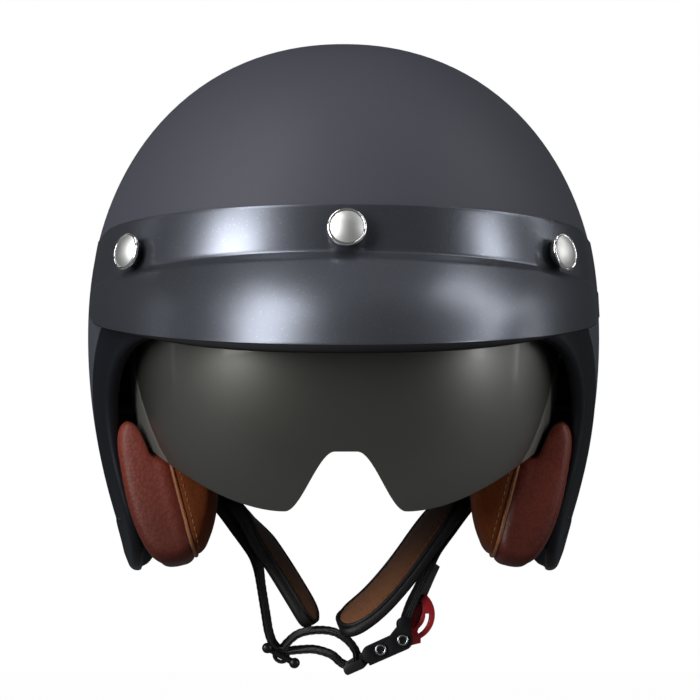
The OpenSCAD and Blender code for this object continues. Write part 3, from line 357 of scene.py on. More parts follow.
def texture_group(name, **inputs):
    """A node group whose inputs have the given values, with its input sockets and a place in the
    object. It gives a colour, a roughness and a height for the bump."""
    group = bpy.data.node_groups.new(name, "ShaderNodeTree")
    for way, sockets in (("INPUT", inputs), ("OUTPUT", dict(Color=(0, 0, 0, 1), Roughness=0.0, Height=0.0))):
        for label, value in sockets.items():
            kind = "NodeSocketFloat" if isinstance(value, float) else "NodeSocketColor"
            socket = group.interface.new_socket(name=label.replace("_", " "), in_out=way, socket_type=kind)
            socket.default_value = value
    return group, group.nodes.new("NodeGroupInput").outputs, add_node(group, "TexCoord").outputs["Object"]


def end_group(group, *outputs):
    end = group.nodes.new("NodeGroupOutput")
    for socket, output in zip(end.inputs, outputs):
        group.links.new(output, socket)


# Lacquer texture: a colour that drifts a little, a fine bump and a roughness that varies with it
lacquer, given, place = texture_group("lacquer_texture", Color=(0.1, 0.1, 0.1, 1), Drift=0.1, Roughness=0.5,
                                      Fine_scale=900.0, Speck=0.0)
fine = add_node(lacquer, "TexNoise", place, Scale=given["Fine scale"], Detail=3.0, Roughness=0.6)
broad = add_node(lacquer, "TexNoise", place, Scale=9.0, Detail=4.0, Roughness=0.55)
specks = add_node(lacquer, "TexVoronoi", place, Scale=1500.0)
centre = maths(lacquer, "SUBTRACT", broad.outputs[0], 0.5)
drift = maths(lacquer, "MULTIPLY_ADD", centre, given["Drift"], 1.0)
speck = in_range(lacquer, specks.outputs["Color"], From_Min=0.8, From_Max=1.0)
speck = maths(lacquer, "MULTIPLY", speck, given["Speck"])
end_group(lacquer, scaled(lacquer, given["Color"], maths(lacquer, "ADD", drift, speck)),
          maths(lacquer, "MULTIPLY_ADD", centre, 0.12, given["Roughness"]), fine.outputs[0])


def coated(name, texture, colour, bump, distance=0.0002, **settings):
    """A material whose colour, roughness and bump come from a texture group. A setting goes to the
    texture where that has such an input, and to the surface elsewhere."""
    material, tree = shader_tree(name)
    source = add_node(tree, "Group", node_tree=texture)
    lift = add_node(tree, "Bump", Strength=bump, Distance=distance, Height=source.outputs["Height"])
    shader = add_node(tree, "BsdfPrincipled", source.outputs["Color"], Roughness=source.outputs["Roughness"],
                      Normal=lift.outputs[0])
    source.inputs["Color"].default_value = (*colour, 1)
    for label, value in settings.items():
        label = label.replace("_", " ")
        (source if label in source.inputs else shader).inputs[label].default_value = value
    add_node(tree, "OutputMaterial", shader.outputs[0])
    return material


matt_charcoal = coated("matt_charcoal", lacquer, (0.054, 0.055, 0.07), 0.12, 0.0001, Drift=0.14, Roughness=0.6,
                       Fine_scale=1400.0, Speck=0.12, Specular_IOR_Level=0.42)
shell_inside = coated("shell_inside", lacquer, (0.004, 0.004, 0.005), 0.3, 0.0003, Drift=0.4, Roughness=0.7,
                      Fine_scale=500.0, Specular_IOR_Level=0.2)
COLS, ROWS = 156, 120
q = shell_q(*np.meshgrid(np.linspace(0, 1, COLS + 1), np.linspace(0, 1, ROWS + 1)))
form = walled(skin(q), skin(q, SHELL_T))
pick = np.arange(len(form[1])) >= ROWS * COLS
make("shell_form", form, [matt_charcoal, shell_inside], "helmet", "matt_shell_paint", ["shell"], pick=pick)

# Edge trim
# A blue-black rubber bead pressed over the raw edge of the shell all the way round, with a smooth
# rounded nose and a leg down each face.
TRIM_HALF, TRIM_LEG, TRIM_NOSE, TRIM_GAP, LEG_WIDENED = 3.7, 7.0, 3.7, 0.5, 2.0
inside = SHELL_T / 2 + TRIM_GAP
leg = [(inside, TRIM_GAP), (inside, -TRIM_LEG + 0.2), (inside + 0.3, -TRIM_LEG), (TRIM_HALF - 0.9, -TRIM_LEG),
       (TRIM_HALF - 0.25, 0.6 - TRIM_LEG), (TRIM_HALF, 1.6 - TRIM_LEG), (TRIM_HALF, -2.5)]
nose = [(TRIM_HALF * power(np.cos(a), 0.8), TRIM_NOSE * power(np.sin(a), 0.85)) for a in angles(0, 181, 15)]
trim_section = leg + nose + [(-across, off) for across, off in leg[::-1]]


def rim_step(s):
    """The step in q that leads one millimetre out of the rim along the skin."""
    e = 0.002
    a, b = (slope / (2 * e) for slope in skin_slopes(rim(s), e))
    off = unit(np.cross(skin(rim(s + 0.05)) - skin(rim(s - 0.05)), np.cross(a, b)))
    aa, bb, ab = (a * a).sum(-1), (b * b).sum(-1), (a * b).sum(-1)
    oa, ob = (off * a).sum(-1), (off * b).sum(-1)
    return np.stack([oa * bb - ob * ab, ob * aa - oa * ab], -1) / (aa * bb - ab * ab)[..., None]


# Beside the face the outer leg is wider, so that the whole edge shows as one black border
stations = np.linspace(0, len(RIM_LOOP), 361)[:-1]
step, edge_line = rim_step(stations), skin(rim(stations))
wider = 1 + LEG_WIDENED * smooth_step((-edge_line[:, 1] - 10) / 30) * smooth_step((126 - edge_line[:, 2]) / 16)
rings = []
for across, off in trim_section:
    reach = off * (wider if across > 0 and off < -3 else np.ones_like(wider))
    rings.append(skin(rim(stations) + reach[:, None] * step, SHELL_T / 2 - across))
form = loft(np.stack(rings[::-1], 1), closed=True)
trim_rubber = coated("trim_rubber", lacquer, (0.005, 0.0065, 0.0095), 0.05, 0.0001, Drift=0.5, Roughness=0.4,
                     Fine_scale=700.0, Specular_IOR_Level=0.3)
make("edge_trim_bead", form, trim_rubber, "helmet", "gloss_black_rubber", ["edge_trim"])

# Impact liner
# A bowl of black expanded-foam beads glued into the shell, with room cut for the sweep of the
# visor, its two pivots and the control cable. Two blocks of the same foam back the cheek pads.
bead_foam, given, place = texture_group("bead_texture", Color=(0.02, 0.02, 0.022, 1), Scale=330.0)
beads = add_node(bead_foam, "TexVoronoi", place, Scale=given["Scale"])
grain = add_node(bead_foam, "TexNoise", place, Scale=1600.0, Detail=2.0)
edge = in_range(bead_foam, beads.outputs["Distance"], From_Min=0.15, From_Max=0.75, To_Min=1.0, To_Max=0.0)
end_group(bead_foam, scaled(bead_foam, given["Color"], in_range(bead_foam, edge, To_Min=0.55, To_Max=1.25)),
          in_range(bead_foam, edge, To_Min=0.85, To_Max=0.6),
          maths(bead_foam, "MULTIPLY_ADD", grain.outputs[0], 0.12, edge))
black_foam = coated("black_bead_foam", bead_foam, (0.013, 0.013, 0.015), 0.5, 0.0006, Specular_IOR_Level=0.3)
FLAT_ANGLE = np.radians(38)


def dress(names, material, slot, soften=0.0):
    """Gives CAD nodes their material, worn edges and smooth shading between their flats."""
    for node in (nodes[name] for name in names):
        mesh = node.data
        mesh.materials.clear()
        mesh.materials.append(material)
        for label in ("custom_normal", "sharp_edge", "sharp_face"):
            if label in mesh.attributes:
                mesh.attributes.remove(mesh.attributes[label])
        mesh.polygons.foreach_set("use_smooth", [True] * len(mesh.polygons))
        modify(node, "WELD", merge_threshold=1e-5)
        if soften:
            modify(node, "BEVEL", width=soften, segments=2, limit_method="ANGLE", angle_limit=FLAT_ANGLE)
        modify(node, "EDGE_SPLIT", split_angle=FLAT_ANGLE, use_edge_sharp=False)
        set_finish(node, slot)


dress(["impact_liner", "cheek_foam_left", "cheek_foam_right"], black_foam, "black_foam")

# Comfort lining
# The crown pad is sheet foam under brown cloth, quilted in diamonds between six sewn channels. A
# brow pad and a black neck roll are stuffed tubes with piped edges.
cloth, given, place = texture_group("cloth_texture", Color=(0.1, 0.05, 0.03, 1), Scale=900.0, Contrast=0.35)
loops = add_node(cloth, "TexVoronoi", place, Scale=given["Scale"], feature="SMOOTH_F1")
tufts = add_node(cloth, "TexNoise", place, Scale=260.0, Detail=5.0, Roughness=0.7)
drift = add_node(cloth, "TexNoise", place, Scale=14.0, Detail=3.0)
knit = in_range(cloth, loops.outputs["Distance"], From_Min=0.1, From_Max=0.8, To_Min=1.0, To_Max=0.0)
both = maths(cloth, "MULTIPLY_ADD", tufts.outputs[0], 0.6, knit)
level = maths(cloth, "MULTIPLY_ADD", given["Contrast"], -0.9, 1.0)
shade = maths(cloth, "MULTIPLY_ADD", maths(cloth, "ADD", both, drift.outputs[0]), given["Contrast"], level)
end_group(cloth, scaled(cloth, given["Color"], shade), in_range(cloth, knit, To_Min=0.95, To_Max=0.75), both)
brown_cloth = coated("brown_lining_cloth", cloth, (0.115, 0.047, 0.026), 0.35, 0.0005, Scale=850.0, Contrast=0.5,
                     Sheen_Weight=0.25, Sheen_Roughness=0.5, Specular_IOR_Level=0.2)
black_cloth = coated("black_lining_cloth", cloth, (0.014, 0.014, 0.016), 0.35, 0.0005, Scale=850.0, Contrast=0.6,
                     Sheen_Weight=0.3, Sheen_Roughness=0.5, Specular_IOR_Level=0.25)
brown_thread = coated("brown_thread", cloth, (0.2, 0.09, 0.045), 0.3, Scale=2200.0, Contrast=0.5,
                      Specular_IOR_Level=0.4)
FOAM_SIDE_Z, BROW_Z, NAPE_Z = 78.0, 110.0, 72.0
CROWN_PAD_T, CROWN_INSET, CROWN_RING, CHANNELS = 8.0, 30.0, 0.30, 6


def dome_rho(share):
    low, high = np.zeros_like(share), np.ones_like(share)
    for _ in range(40):
        mid = (low + high) / 2
        psi = np.pi / 2 * (1 - mid)
        tall = unit_r(np.cos(psi), np.sin(psi), DOME_N) * np.sin(psi) > share
        low, high = np.where(tall, mid, low), np.where(tall, high, mid)
    return (low + high) / 2


def polar(angle, rho):
    return rho[..., None] * np.stack([np.cos(angle), np.sin(angle)], -1)


def q_at(angle, z):
    """The place on the dome at an angle round the helmet and a height."""
    h = np.asarray(z, float) - WIDE_Z
    return polar(angle, np.where(h < 0, 1 - h / DROP, dome_rho(np.maximum(h, 0) / (CROWN_Z - WIDE_Z))))


def bowl_q(a, share):
    """The place in the foam's bowl, from its crown to above its edge, which is low over the ears."""
    f = -np.sin(a)
    edge_z = np.where(f > 0, mixed(FOAM_SIDE_Z, BROW_Z + 9, smooth_step((f - 0.25) / 0.45)),
                      mixed(FOAM_SIDE_Z, NAPE_Z + 11, smooth_step((-f - 0.25) / 0.55)))
    return polar(a, (1 - (edge_z + CROWN_INSET - WIDE_Z) / DROP) * share ** 0.9)


def hollow(q, depth):
    """Points of the foam's hollow, each set in from its wall by its own depth."""
    wall = dome(q, HOLLOW_DOME)
    return wall + (dome(q, HOLLOW_DOME, 1.0) - wall) * np.asarray(depth, float)[..., None]


def crown_pad_depth(a, share):
    """The pad's thickness: thin in its channels, at its ring of stitches and along its edge."""
    panel = mixed(0.62, 1.0, 1 - np.exp(-(np.abs(np.sin(a * CHANNELS / 2)) / 0.10) ** 1.3))
    around, down = a * 30 / (2 * np.pi), share * 9.0
    diamonds = np.abs(np.sin(np.pi * (around + down)) * np.sin(np.pi * (around - down)))
    quilt = mixed(0.80, 1.0, diamonds ** 0.35)
    edge = np.clip((1 - share) / 0.1, 0, 1) ** 0.5
    ring = 1 - 0.28 * np.exp(-((share - CROWN_RING) / 0.018) ** 2)
    outer = smooth_step((share - CROWN_RING + 0.02) / 0.06)
    return CROWN_PAD_T * ring * mixed(0.97, mixed(0.5, panel * quilt, edge), outer)


def tube(path, radius, sides=12, closed=False):
    """The form of a round cord along a path, with rounded ends where it is open."""
    path = np.asarray(path, float)
    way = unit((np.roll(path, -1, 0) - np.roll(path, 1, 0)) if closed else np.gradient(path, axis=0))
    side = np.zeros_like(way)
    side[0] = unit(np.cross(way[0], (0, 0, 1) if abs(way[0][2]) < 0.8 else (0, 1, 0)))
    for i in range(1, len(path)):
        side[i] = unit(side[i - 1] - way[i] * (side[i - 1] @ way[i]))
    up = np.cross(way, side)
    radius = np.full(len(path), float(radius))
    if closed:
        turn = (np.arctan2(side[0] @ up[-1], side[0] @ side[-1]) * np.arange(len(path)) / len(path))[:, None]
        side, up = side * np.cos(turn) + up * np.sin(turn), up * np.cos(turn) - side * np.sin(turn)
    else:
        radius[[0, -1]] *= 0.55
    a = np.arange(sides) * 2 * np.pi / sides
    ring = side[:, None] * np.cos(a)[None, :, None] + up[:, None] * np.sin(a)[None, :, None]
    return loft(path[:, None] + radius[:, None, None] * ring, closed)


def catmull(path, steps):
    path = np.asarray(path, float)
    near = np.concatenate([path[:1], path, path[-1:]])
    out = [between(*near[i:i + 4], t) for i in range(len(path) - 1) for t in np.arange(steps) / steps]
    return np.array(out + [path[-1]])


def merge(parts):
    """One form from several."""
    points, faces, base = [], [], 0
    for p, f in parts:
        p = np.asarray(p, float).reshape(-1, 3)
        points.append(p)
        faces += [[int(i) + base for i in face] for face in f]
        base += len(p)
    return np.concatenate(points), faces


def run_along(path):
    return np.concatenate([[0], np.cumsum(np.linalg.norm(np.diff(path, axis=0), axis=1))])


def at_lengths(path, at):
    """The points of a path at lengths along it."""
    run = run_along(path)
    return np.stack([np.interp(at, run, path[:, c]) for c in range(3)], 1)


def sewn(rows, pitch, length, radius):
    """The form of rows of stitches that lie along paths."""
    return merge([tube(at_lengths(path, np.linspace(start, start + length, 4)), radius, 6) for path in rows
                  for start in np.arange(pitch / 2, run_along(path)[-1] - length, pitch)])


a, share = np.meshgrid(np.linspace(0, 2 * np.pi, 361)[:-1], np.linspace(0.012, 1, 120))
q = bowl_q(a, share)
face, back = hollow(q, crown_pad_depth(a, share)), hollow(q, np.full_like(a, 0.8))
form = loft(np.concatenate([face, back[::-1]])[:, ::-1])
crown_pad = make("crown_pad_quilt", form, brown_cloth, "helmet", "brown_lining", ["crown_pad"])

down, around = np.linspace(0.36, 0.95, 60), np.linspace(0, 2 * np.pi, 200)
lines = [(np.full_like(down, 2 * np.pi * k / CHANNELS + shift), down)
         for k in range(CHANNELS) for shift in (-0.03, 0.03)]
lines += [(around, np.full_like(around, CROWN_RING + shift)) for shift in (-0.022, 0.022)]
rows = [hollow(bowl_q(*line), crown_pad_depth(*line) + 0.15) for line in lines]
make("crown_pad_stitches", sewn(rows, 4.4, 3.0, 0.3), brown_thread, "helmet", "brown_lining")
edge = hollow(bowl_q(np.linspace(0, 2 * np.pi, 241)[:-1], np.full(240, 0.997)), np.full(240, 2.6))
make("crown_pad_binding", tube(edge, 1.9, 12, closed=True), black_cloth, "helmet", "black_lining")


def padded_roll(name, a0, a1, z, fat, tall, material, slot, node):
    """A stuffed roll along the hollow's wall, with a piped seam on its lower edge."""
    t = np.linspace(0, 1, 97)
    grow = 0.35 + 0.65 * np.sqrt(np.maximum(0, 1 - (2 * t - 1) ** 4))
    dimple = 1 - 0.05 * np.exp(-(np.sin(t * np.pi * 9) / 0.25) ** 2)
    centre = hollow(q_at(np.radians(mixed(a0, a1, t)), np.full_like(t, z)), fat * grow / 2 + 0.6)
    out = unit(centre * (1, 1, 0))
    b = angles(0, 360, 10)
    wide = (fat * grow / 2)[:, None] * power(np.cos(b), 0.85)
    high = (tall * grow / 2)[:, None] * power(np.sin(b), 0.85)
    section = out[:, None] * wide[..., None] + high[..., None] * np.array([0, 0, 1.0])
    rings = centre[:, None] + section * np.where(np.cos(b) < 0, dimple[:, None], 1.0)[..., None]
    seam = centre - out * (fat * grow * 0.33)[:, None]
    seam[:, 2] -= tall * grow * 0.40
    for end, inner in ((0, 1), (-1, -2)):
        tip = rings[end].mean(0)
        lean = unit(tip - rings[inner].mean(0)) * fat * 0.16
        caps = [tip + (rings[end] - tip) * s + lean * (1 - s * s) for s in (0.8, 0.5, 0.2)]
        rings = np.concatenate([rings, caps] if end else [caps[::-1], rings])
    make(name, loft(rings), material, "helmet", slot, [node])
    make(name + "_piping", tube(seam[3:-3], 0.9, 10), material, "helmet", slot)


padded_roll("brow_roll", -145, -35, BROW_Z + 16, 9, 11, brown_cloth, "brown_lining", "brow_pad")
padded_roll("neck_roll_pad", 35, 145, NAPE_Z + 17, 14, 20, black_cloth, "black_lining", "neck_roll")

# Cheek pads
# Two cushions of cut foam behind the face edge: fine-grained red-brown leather outside, a suede
# panel where the cheek rests, and a piped seam between them that runs up the front.
leather, given, place = texture_group("leather_texture", Color=(0.2, 0.06, 0.04, 1), Grain_scale=420.0, Drift=0.3,
                                      Roughness=0.5)
bend = add_node(leather, "TexNoise", place, Scale=180.0, Detail=2.0)
wander = add_node(leather, "VectorMath", bend.outputs["Color"], (0.0012,) * 3, place, operation="MULTIPLY_ADD")
grain = add_node(leather, "TexVoronoi", wander.outputs[0], Scale=given["Grain scale"])
pores = add_node(leather, "TexNoise", place, Scale=2600.0, Detail=2.0)
drift = add_node(leather, "TexNoise", place, Scale=32.0, Detail=4.0, Roughness=0.6)
crease = in_range(leather, grain.outputs["Distance"], From_Min=0.25, From_Max=0.8, To_Min=1.0, To_Max=0.0)
worn = maths(leather, "SUBTRACT", drift.outputs[0], 0.5)
shade = maths(leather, "MULTIPLY_ADD", worn, given["Drift"], in_range(leather, crease, To_Min=0.8, To_Max=1.06))
end_group(leather, scaled(leather, given["Color"], shade),
          maths(leather, "MULTIPLY_ADD", worn, 0.25, given["Roughness"]),
          maths(leather, "MULTIPLY_ADD", pores.outputs[0], 0.15, crease))
pad_leather = coated("red_brown_leather", leather, (0.17, 0.031, 0.018), 0.16, 0.0004, Grain_scale=620.0, Drift=0.35,
                     Roughness=0.46, Specular_IOR_Level=0.28)
pad_suede = coated("orange_brown_suede", cloth, (0.105, 0.024, 0.005), 0.25, 0.0003, Scale=1500.0, Contrast=0.55,
                   Sheen_Weight=0.06, Sheen_Roughness=0.4, Specular_IOR_Level=0.12)
piping_leather = coated("piping_leather", leather, (0.27, 0.095, 0.035), 0.1, Grain_scale=900.0, Drift=0.2,
                        Roughness=0.45, Specular_IOR_Level=0.45)


def painted_height_shade(material, low, high, low_share, high_share):
    """Scales a material's colour between two heights, as painted shade on leather and suede."""
    tree = material.node_tree
    shader = next(n for n in tree.nodes if n.type == "BSDF_PRINCIPLED")
    where = add_node(tree, "SeparateXYZ", add_node(tree, "TexCoord").outputs["Object"])
    share = in_range(tree, where.outputs["Z"], From_Min=(low - SEAT_Z) / 1000, From_Max=(high - SEAT_Z) / 1000,
                     To_Min=low_share, To_Max=high_share, interpolation_type="SMOOTHSTEP")
    colour = shader.inputs["Base Color"]
    tree.links.new(scaled(tree, colour.links[0].from_socket, share), colour)


# Painted shade: the cheek pads' leather and suede get darker towards their lower edge
painted_height_shade(pad_leather, 5, 52, 0.55, 1.0)
painted_height_shade(pad_suede, 5, 40, 0.75, 1.0)
HINGE_Y, HINGE_Z, LENS_R, LENS_HALF, LENS_N, LENS_T = -8.0, 105.0, 117.5, 104.0, 2.4, 2.2
PAD_MID_X, PAD_IN, PAD_OUT_X, LIP_X = 84.0, 24.5, 90.5, 101.6
PAD_TOP, PAD_LOW, PAD_MID_Z, PAD_FRONT_Y, PAD_BACK_Y = 76.0, 1.2, 46.0, -62, -12.6
SEAM_DEPTH, SEAM_REACH = 0.0011, 0.008


def oval(distance, depth, along, across):
    """How far one half axis of the visor's plan curve reaches at a distance along the other."""
    return (across - depth) * np.maximum(0, 1 - np.abs(distance / (along - depth)) ** LENS_N) ** (1 / LENS_N)


def lens_radius(x, depth=0.0):
    return oval(x, depth, LENS_HALF, LENS_R)


def lens_x(r, depth=0.0):
    return oval(r, depth, LENS_R, LENS_HALF)


def pad_ring(t, shrink=1.0, ahead=0.0):
    """A section of the pad's foam, from its front to its back."""
    y = mixed(PAD_FRONT_Y, PAD_BACK_Y, t)
    crown = 0.66 + 0.34 * max(0.0, 1 - abs(2 * t - 1) ** 3.2) ** 0.42
    a = -angles(0, 360, 4)
    c, s = np.cos(a), np.sin(a)
    low = s < 0
    rise = np.where(low, PAD_MID_Z - PAD_LOW, PAD_TOP - PAD_MID_Z) * power(s, np.where(low, 0.75, 0.55))
    lip = LIP_X + (PAD_MID_Z + rise - 23) * 0.17
    wide = mixed(lip, PAD_OUT_X, smooth_step((y + 54) / 5)) - PAD_MID_X
    x = np.where(c > 0, wide * power(c, np.where(low, 1.0, 0.6)), PAD_IN * power(c, np.where(low, 0.8, 0.65)))
    # The foam slopes down from the tongue beside the face to the part behind the visor
    rise = np.where(low, rise, rise * mixed(0.3, 0.92, smooth_step((PAD_MID_X + x - 85) / 20)))
    ring = np.stack([PAD_MID_X + x * mixed(crown, 1, 0.35), np.full_like(x, y + ahead),
                     PAD_MID_Z + rise * mixed(crown, 1, 0.5)], -1)
    middle = np.array([PAD_MID_X - 4, y + ahead, PAD_MID_Z])
    return middle + (ring - middle) * shrink


def tidy_normals(piece):
    shape = bmesh.new()
    shape.from_mesh(piece.data)
    bmesh.ops.recalc_face_normals(shape, faces=shape.faces)
    shape.to_mesh(piece.data)
    shape.free()


def ordered_loop(edges):
    """The vertices of a closed chain of edges in order."""
    links = {}
    for edge in edges:
        for a, b in (tuple(edge.verts), tuple(edge.verts)[::-1]):
            links.setdefault(a, []).append(b)
    loop = [max(links, key=lambda v: v.co.z)]
    ahead = links[loop[0]]
    while ahead:
        loop.append(ahead[0])
        ahead = [v for v in links[loop[-1]] if v not in loop]
    return loop


def seam_cut(pad, on_seam, across):
    """Splits a cover along the seam's plane, gives each side its leather, draws the seam in, and
    returns the points along it."""
    shape = bmesh.new()
    shape.from_mesh(pad.data)
    cut = bmesh.ops.bisect_plane(shape, geom=shape.verts[:] + shape.edges[:] + shape.faces[:], dist=1e-6,
                                 plane_co=on_seam, plane_no=across)
    for face in shape.faces:
        face.material_index = int((face.calc_center_median() - on_seam).dot(across) < 0)
        face.smooth = True
    shape.normal_update()
    loop = ordered_loop([e for e in cut["geom_cut"] if isinstance(e, bmesh.types.BMEdge)])
    path = np.array([v.co for v in loop])
    for v in shape.verts:
        off = abs((v.co - on_seam).dot(across))
        if off < SEAM_REACH:
            bulge = SEAM_DEPTH * 0.25 * np.exp(-(((off - 0.0048) / 0.002) ** 2))
            v.co -= v.normal * (SEAM_DEPTH * np.exp(-((off / 0.0016) ** 2)) - bulge)
    shape.to_mesh(pad.data)
    shape.free()
    return path


def evened(path, step):
    """Points at even steps round a closed path."""
    path = np.concatenate([path, path[:1]])
    length = run_along(path)[-1]
    return at_lengths(path, np.linspace(0, length, max(8, int(length / step)) + 1)[:-1])


def softened(path, rounds):
    for _ in range(rounds):
        path = (np.roll(path, 1, 0) + 2 * path + np.roll(path, -1, 0)) / 4
    return path


def to_mm(points):
    return np.asarray(points) * 1000.0 + (0, 0, SEAT_Z)


def laid_on(piece, path, lift):
    """Moves the points of a path in millimetres onto the surface of a piece."""
    mesh = piece.data
    tree = BVHTree.FromPolygons([v.co for v in mesh.vertices], [tuple(f.vertices) for f in mesh.polygons])
    found = (tree.find_nearest(Vector(p)) for p in metres(path))
    return to_mm([np.array(place + normal * lift / 1000.0) for place, normal, _, _ in found])


def mirror_piece(piece, name, nodes=()):
    """A copy of a piece on the other side of the middle plane."""
    mesh = piece.data.copy()
    mesh.transform(Matrix.Scale(-1, 4, (1, 0, 0)))
    mesh.flip_normals()
    return placed(name, mesh, piece["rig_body"], piece["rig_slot"], nodes)


t = np.concatenate([np.linspace(0, 0.1, 8)[:-1], np.linspace(0.1, 0.9, 34), np.linspace(0.9, 1, 8)[1:]])
rings = [pad_ring(0.0, s, -1.1 * (1 - s * s)) for s in (0.12, 0.4, 0.65, 0.85)]
rings += [pad_ring(v) for v in t] + [pad_ring(1.0, s, 0.4 * (1 - s)) for s in (0.85, 0.6, 0.3, 0.1)]
cheek_left = make("cheek_pad_left_cover", loft(rings), [pad_leather, pad_suede], "helmet", "brown_leather",
                  ["cheek_pad_left"])
# The visor's wing passes the outer front corner, so the foam is cut away in front of its inner face
# and down to its lower edge, and only a tongue is left beside it
r = np.linspace(96, 20, 13)
r, x = np.concatenate([r, r[::-1]]), np.concatenate([lens_x(r, LENS_T + 1.2), lens_x(r[::-1], -2.2)])
low_edge = np.interp(r, (36, 40, 50, 68.6, 80, 90, 96), (-88, -70, -49.5, -47, -44.5, -43.6, -44.2))
sweep = [np.stack([x, HINGE_Y - r * np.cos(b), HINGE_Z + r * np.sin(b)], -1)
         for b in (np.radians(mixed(low_edge, 52, share)) for share in np.linspace(0, 1, 54))]
cutter = make("cutter", loft(sweep), pad_leather, "helmet", "brown_leather")
tidy_normals(cheek_left)
tidy_normals(cutter)
modify(cheek_left, "REMESH", mode="VOXEL", voxel_size=0.0013)
modify(cheek_left, "BOOLEAN", object=cutter, operation="DIFFERENCE", solver="EXACT")
modify(cheek_left, "REMESH", mode="VOXEL", voxel_size=0.0012)
modify(cheek_left, "SMOOTH", iterations=20, factor=0.5)
apply_modifiers(cheek_left)
bpy.data.objects.remove(cutter)
across = Vector((1, 0, -0.262)).normalized()
seam = seam_cut(cheek_left, Vector(metres([70.6, 0, 10.0])[0]), across)
line = softened(evened(to_mm(seam), 1.2), 14)
piping = tube(softened(laid_on(cheek_left, line, 0.35), 4), 0.95, 10, closed=True)
row = laid_on(cheek_left, line - np.array(across) * 3.2, 0.05)
low = np.nonzero(row[:, 2] < 9)[0]
sewing = sewn((row[:low[0]], row[low[-1] + 1:]), 3.4, 2.3, 0.25)
trimmings = [make("cheek_pad_left_piping", piping, piping_leather, "helmet", "brown_leather"),
             make("cheek_pad_left_stitches", sewing, brown_thread, "helmet", "brown_leather")]
cheek_right = mirror_piece(cheek_left, "cheek_pad_right_cover", ["cheek_pad_right"])
for piece in trimmings:
    mirror_piece(piece, piece.name.replace("left", "right"))

# Peak
# A press-on peak moulded in plastic and sprayed satin gunmetal with a fine flake: an upright band
# that carries the fasteners, a crease, and a flare over the brow. Its underside is bare black.
PEAK_GAP, PEAK_T, PEAK_REACH, BAND, BEAD_HALF = 4.0, 2.2, 31.0, 0.27, 1.25
PEAK_TOP, PEAK_CREASE, PEAK_LOW, PEAK_END, PEAK_END_A = 157.0, 136.5, 92.0, 119.0, 20.0
LOW_SINE = np.sin(np.radians(PEAK_END_A))


def peak_surface(a, t, depth):
    """The peak at an angle round the helmet and a share from its top edge to its lower one."""
    f = np.clip((-np.sin(a) - LOW_SINE) / (1 - LOW_SINE), 0, 1)
    gap = mixed(0.6, PEAK_GAP, smooth_step((-np.sin(a) - LOW_SINE) / 0.22)) + depth
    down = np.maximum(0, t - BAND) / (1 - BAND)
    top, low = PEAK_TOP - 3 * (1 - f) ** 3, mixed(PEAK_END, PEAK_LOW, f ** 0.85)
    root = skin(q_at(a, mixed(top, PEAK_CREASE - 5.5 * (1 - f), np.minimum(1, t / BAND))), -gap)
    side = skin(q_at(a, np.maximum(low, WIDE_Z)), -gap)
    out = 1.4 * smooth_step(down * 9) * (0.3 + 0.7 * f) + 3 * np.sin(np.pi * down) * f
    level = mixed(root[..., :2], side[..., :2], down[..., None]) + unit(root[..., :2]) * out[..., None]
    level[..., 1] -= PEAK_REACH * f ** 1.1 * down
    return np.concatenate([level, mixed(root[..., 2], low, down)[..., None]], -1)


cols = np.concatenate([np.linspace(-PEAK_END_A, -90, 90)[:-1], np.linspace(-90, -180 + PEAK_END_A, 90)])
rows = np.concatenate([np.linspace(0, BAND, 14)[:-1], BAND + (1 - BAND) * np.concatenate(
    [np.linspace(0, 0.13, 14)[:-1], np.linspace(0.13, 1, 34)])])
A, T = np.meshgrid(np.radians(cols), rows)
form = walled(peak_surface(A, T, PEAK_T), peak_surface(A, T, 0.0))
count = (len(rows) - 1) * (len(cols) - 1)
pick = np.arange(len(form[1])) // count == 1
peak_paint = coated("satin_gunmetal", lacquer, (0.15, 0.16, 0.185), 0.16, 0.0001, Drift=0.12, Roughness=0.29,
                    Fine_scale=3600.0, Speck=0.35, Metallic=0.85)
peak_under = coated("peak_underside", lacquer, (0.008, 0.008, 0.009), 0.2, Drift=0.3, Roughness=0.6,
                    Fine_scale=900.0, Specular_IOR_Level=0.3)
peak = make("peak_form", form, [peak_paint, peak_under], "helmet", "satin_peak_paint", ["peak"], pick=pick)
modify(peak, "BEVEL", width=0.0007, segments=3, limit_method="ANGLE", angle_limit=np.radians(55))
apply_modifiers(peak)
# A black bead under the lower edge, deepest at the front, is painted shade: a dark form standing for the shadow
# under the peak
a = np.radians(np.linspace(-PEAK_END_A - 6, PEAK_END_A - 174, 161))
edge, sunk = (peak_surface(a, np.ones_like(a), depth) for depth in (PEAK_T, 0.0))
deep = 0.4 + 3.3 * smooth_step((-np.sin(a) - 0.62) / 0.36)
turn = angles(0, 360, 15)
across, down = BEAD_HALF * power(np.cos(turn), 0.7), power(np.sin(turn), 0.7) - 1
rings = ((edge + sunk) / 2)[:, None] + unit(edge - sunk)[:, None] * across[:, None]
rings[..., 2] += 0.3 + deep[:, None] / 2 * down
make("peak_shade_bead", loft(rings), shell_inside, "helmet", "gloss_black_rubber")

# Press studs
# Three nickel studs riveted through the shell carry the peak. Each socket in the peak is black
# nylon, with a black spacer in front and a satin chrome cap that has a bright rolled edge.
metal, given, place = texture_group("metal_texture", Color=(0.6, 0.6, 0.6, 1), Roughness=0.3, Wear=0.1)
scratches = add_node(metal, "TexNoise", place, Scale=1900.0, Detail=3.0, Roughness=0.7)
smudges = add_node(metal, "TexNoise", place, Scale=120.0, Detail=4.0)
centre = maths(metal, "SUBTRACT", smudges.outputs[0], 0.5)
end_group(metal, scaled(metal, given["Color"], maths(metal, "MULTIPLY_ADD", centre, given["Wear"], 1.0)),
          maths(metal, "MULTIPLY_ADD", centre, given["Wear"], given["Roughness"]), scratches.outputs[0])


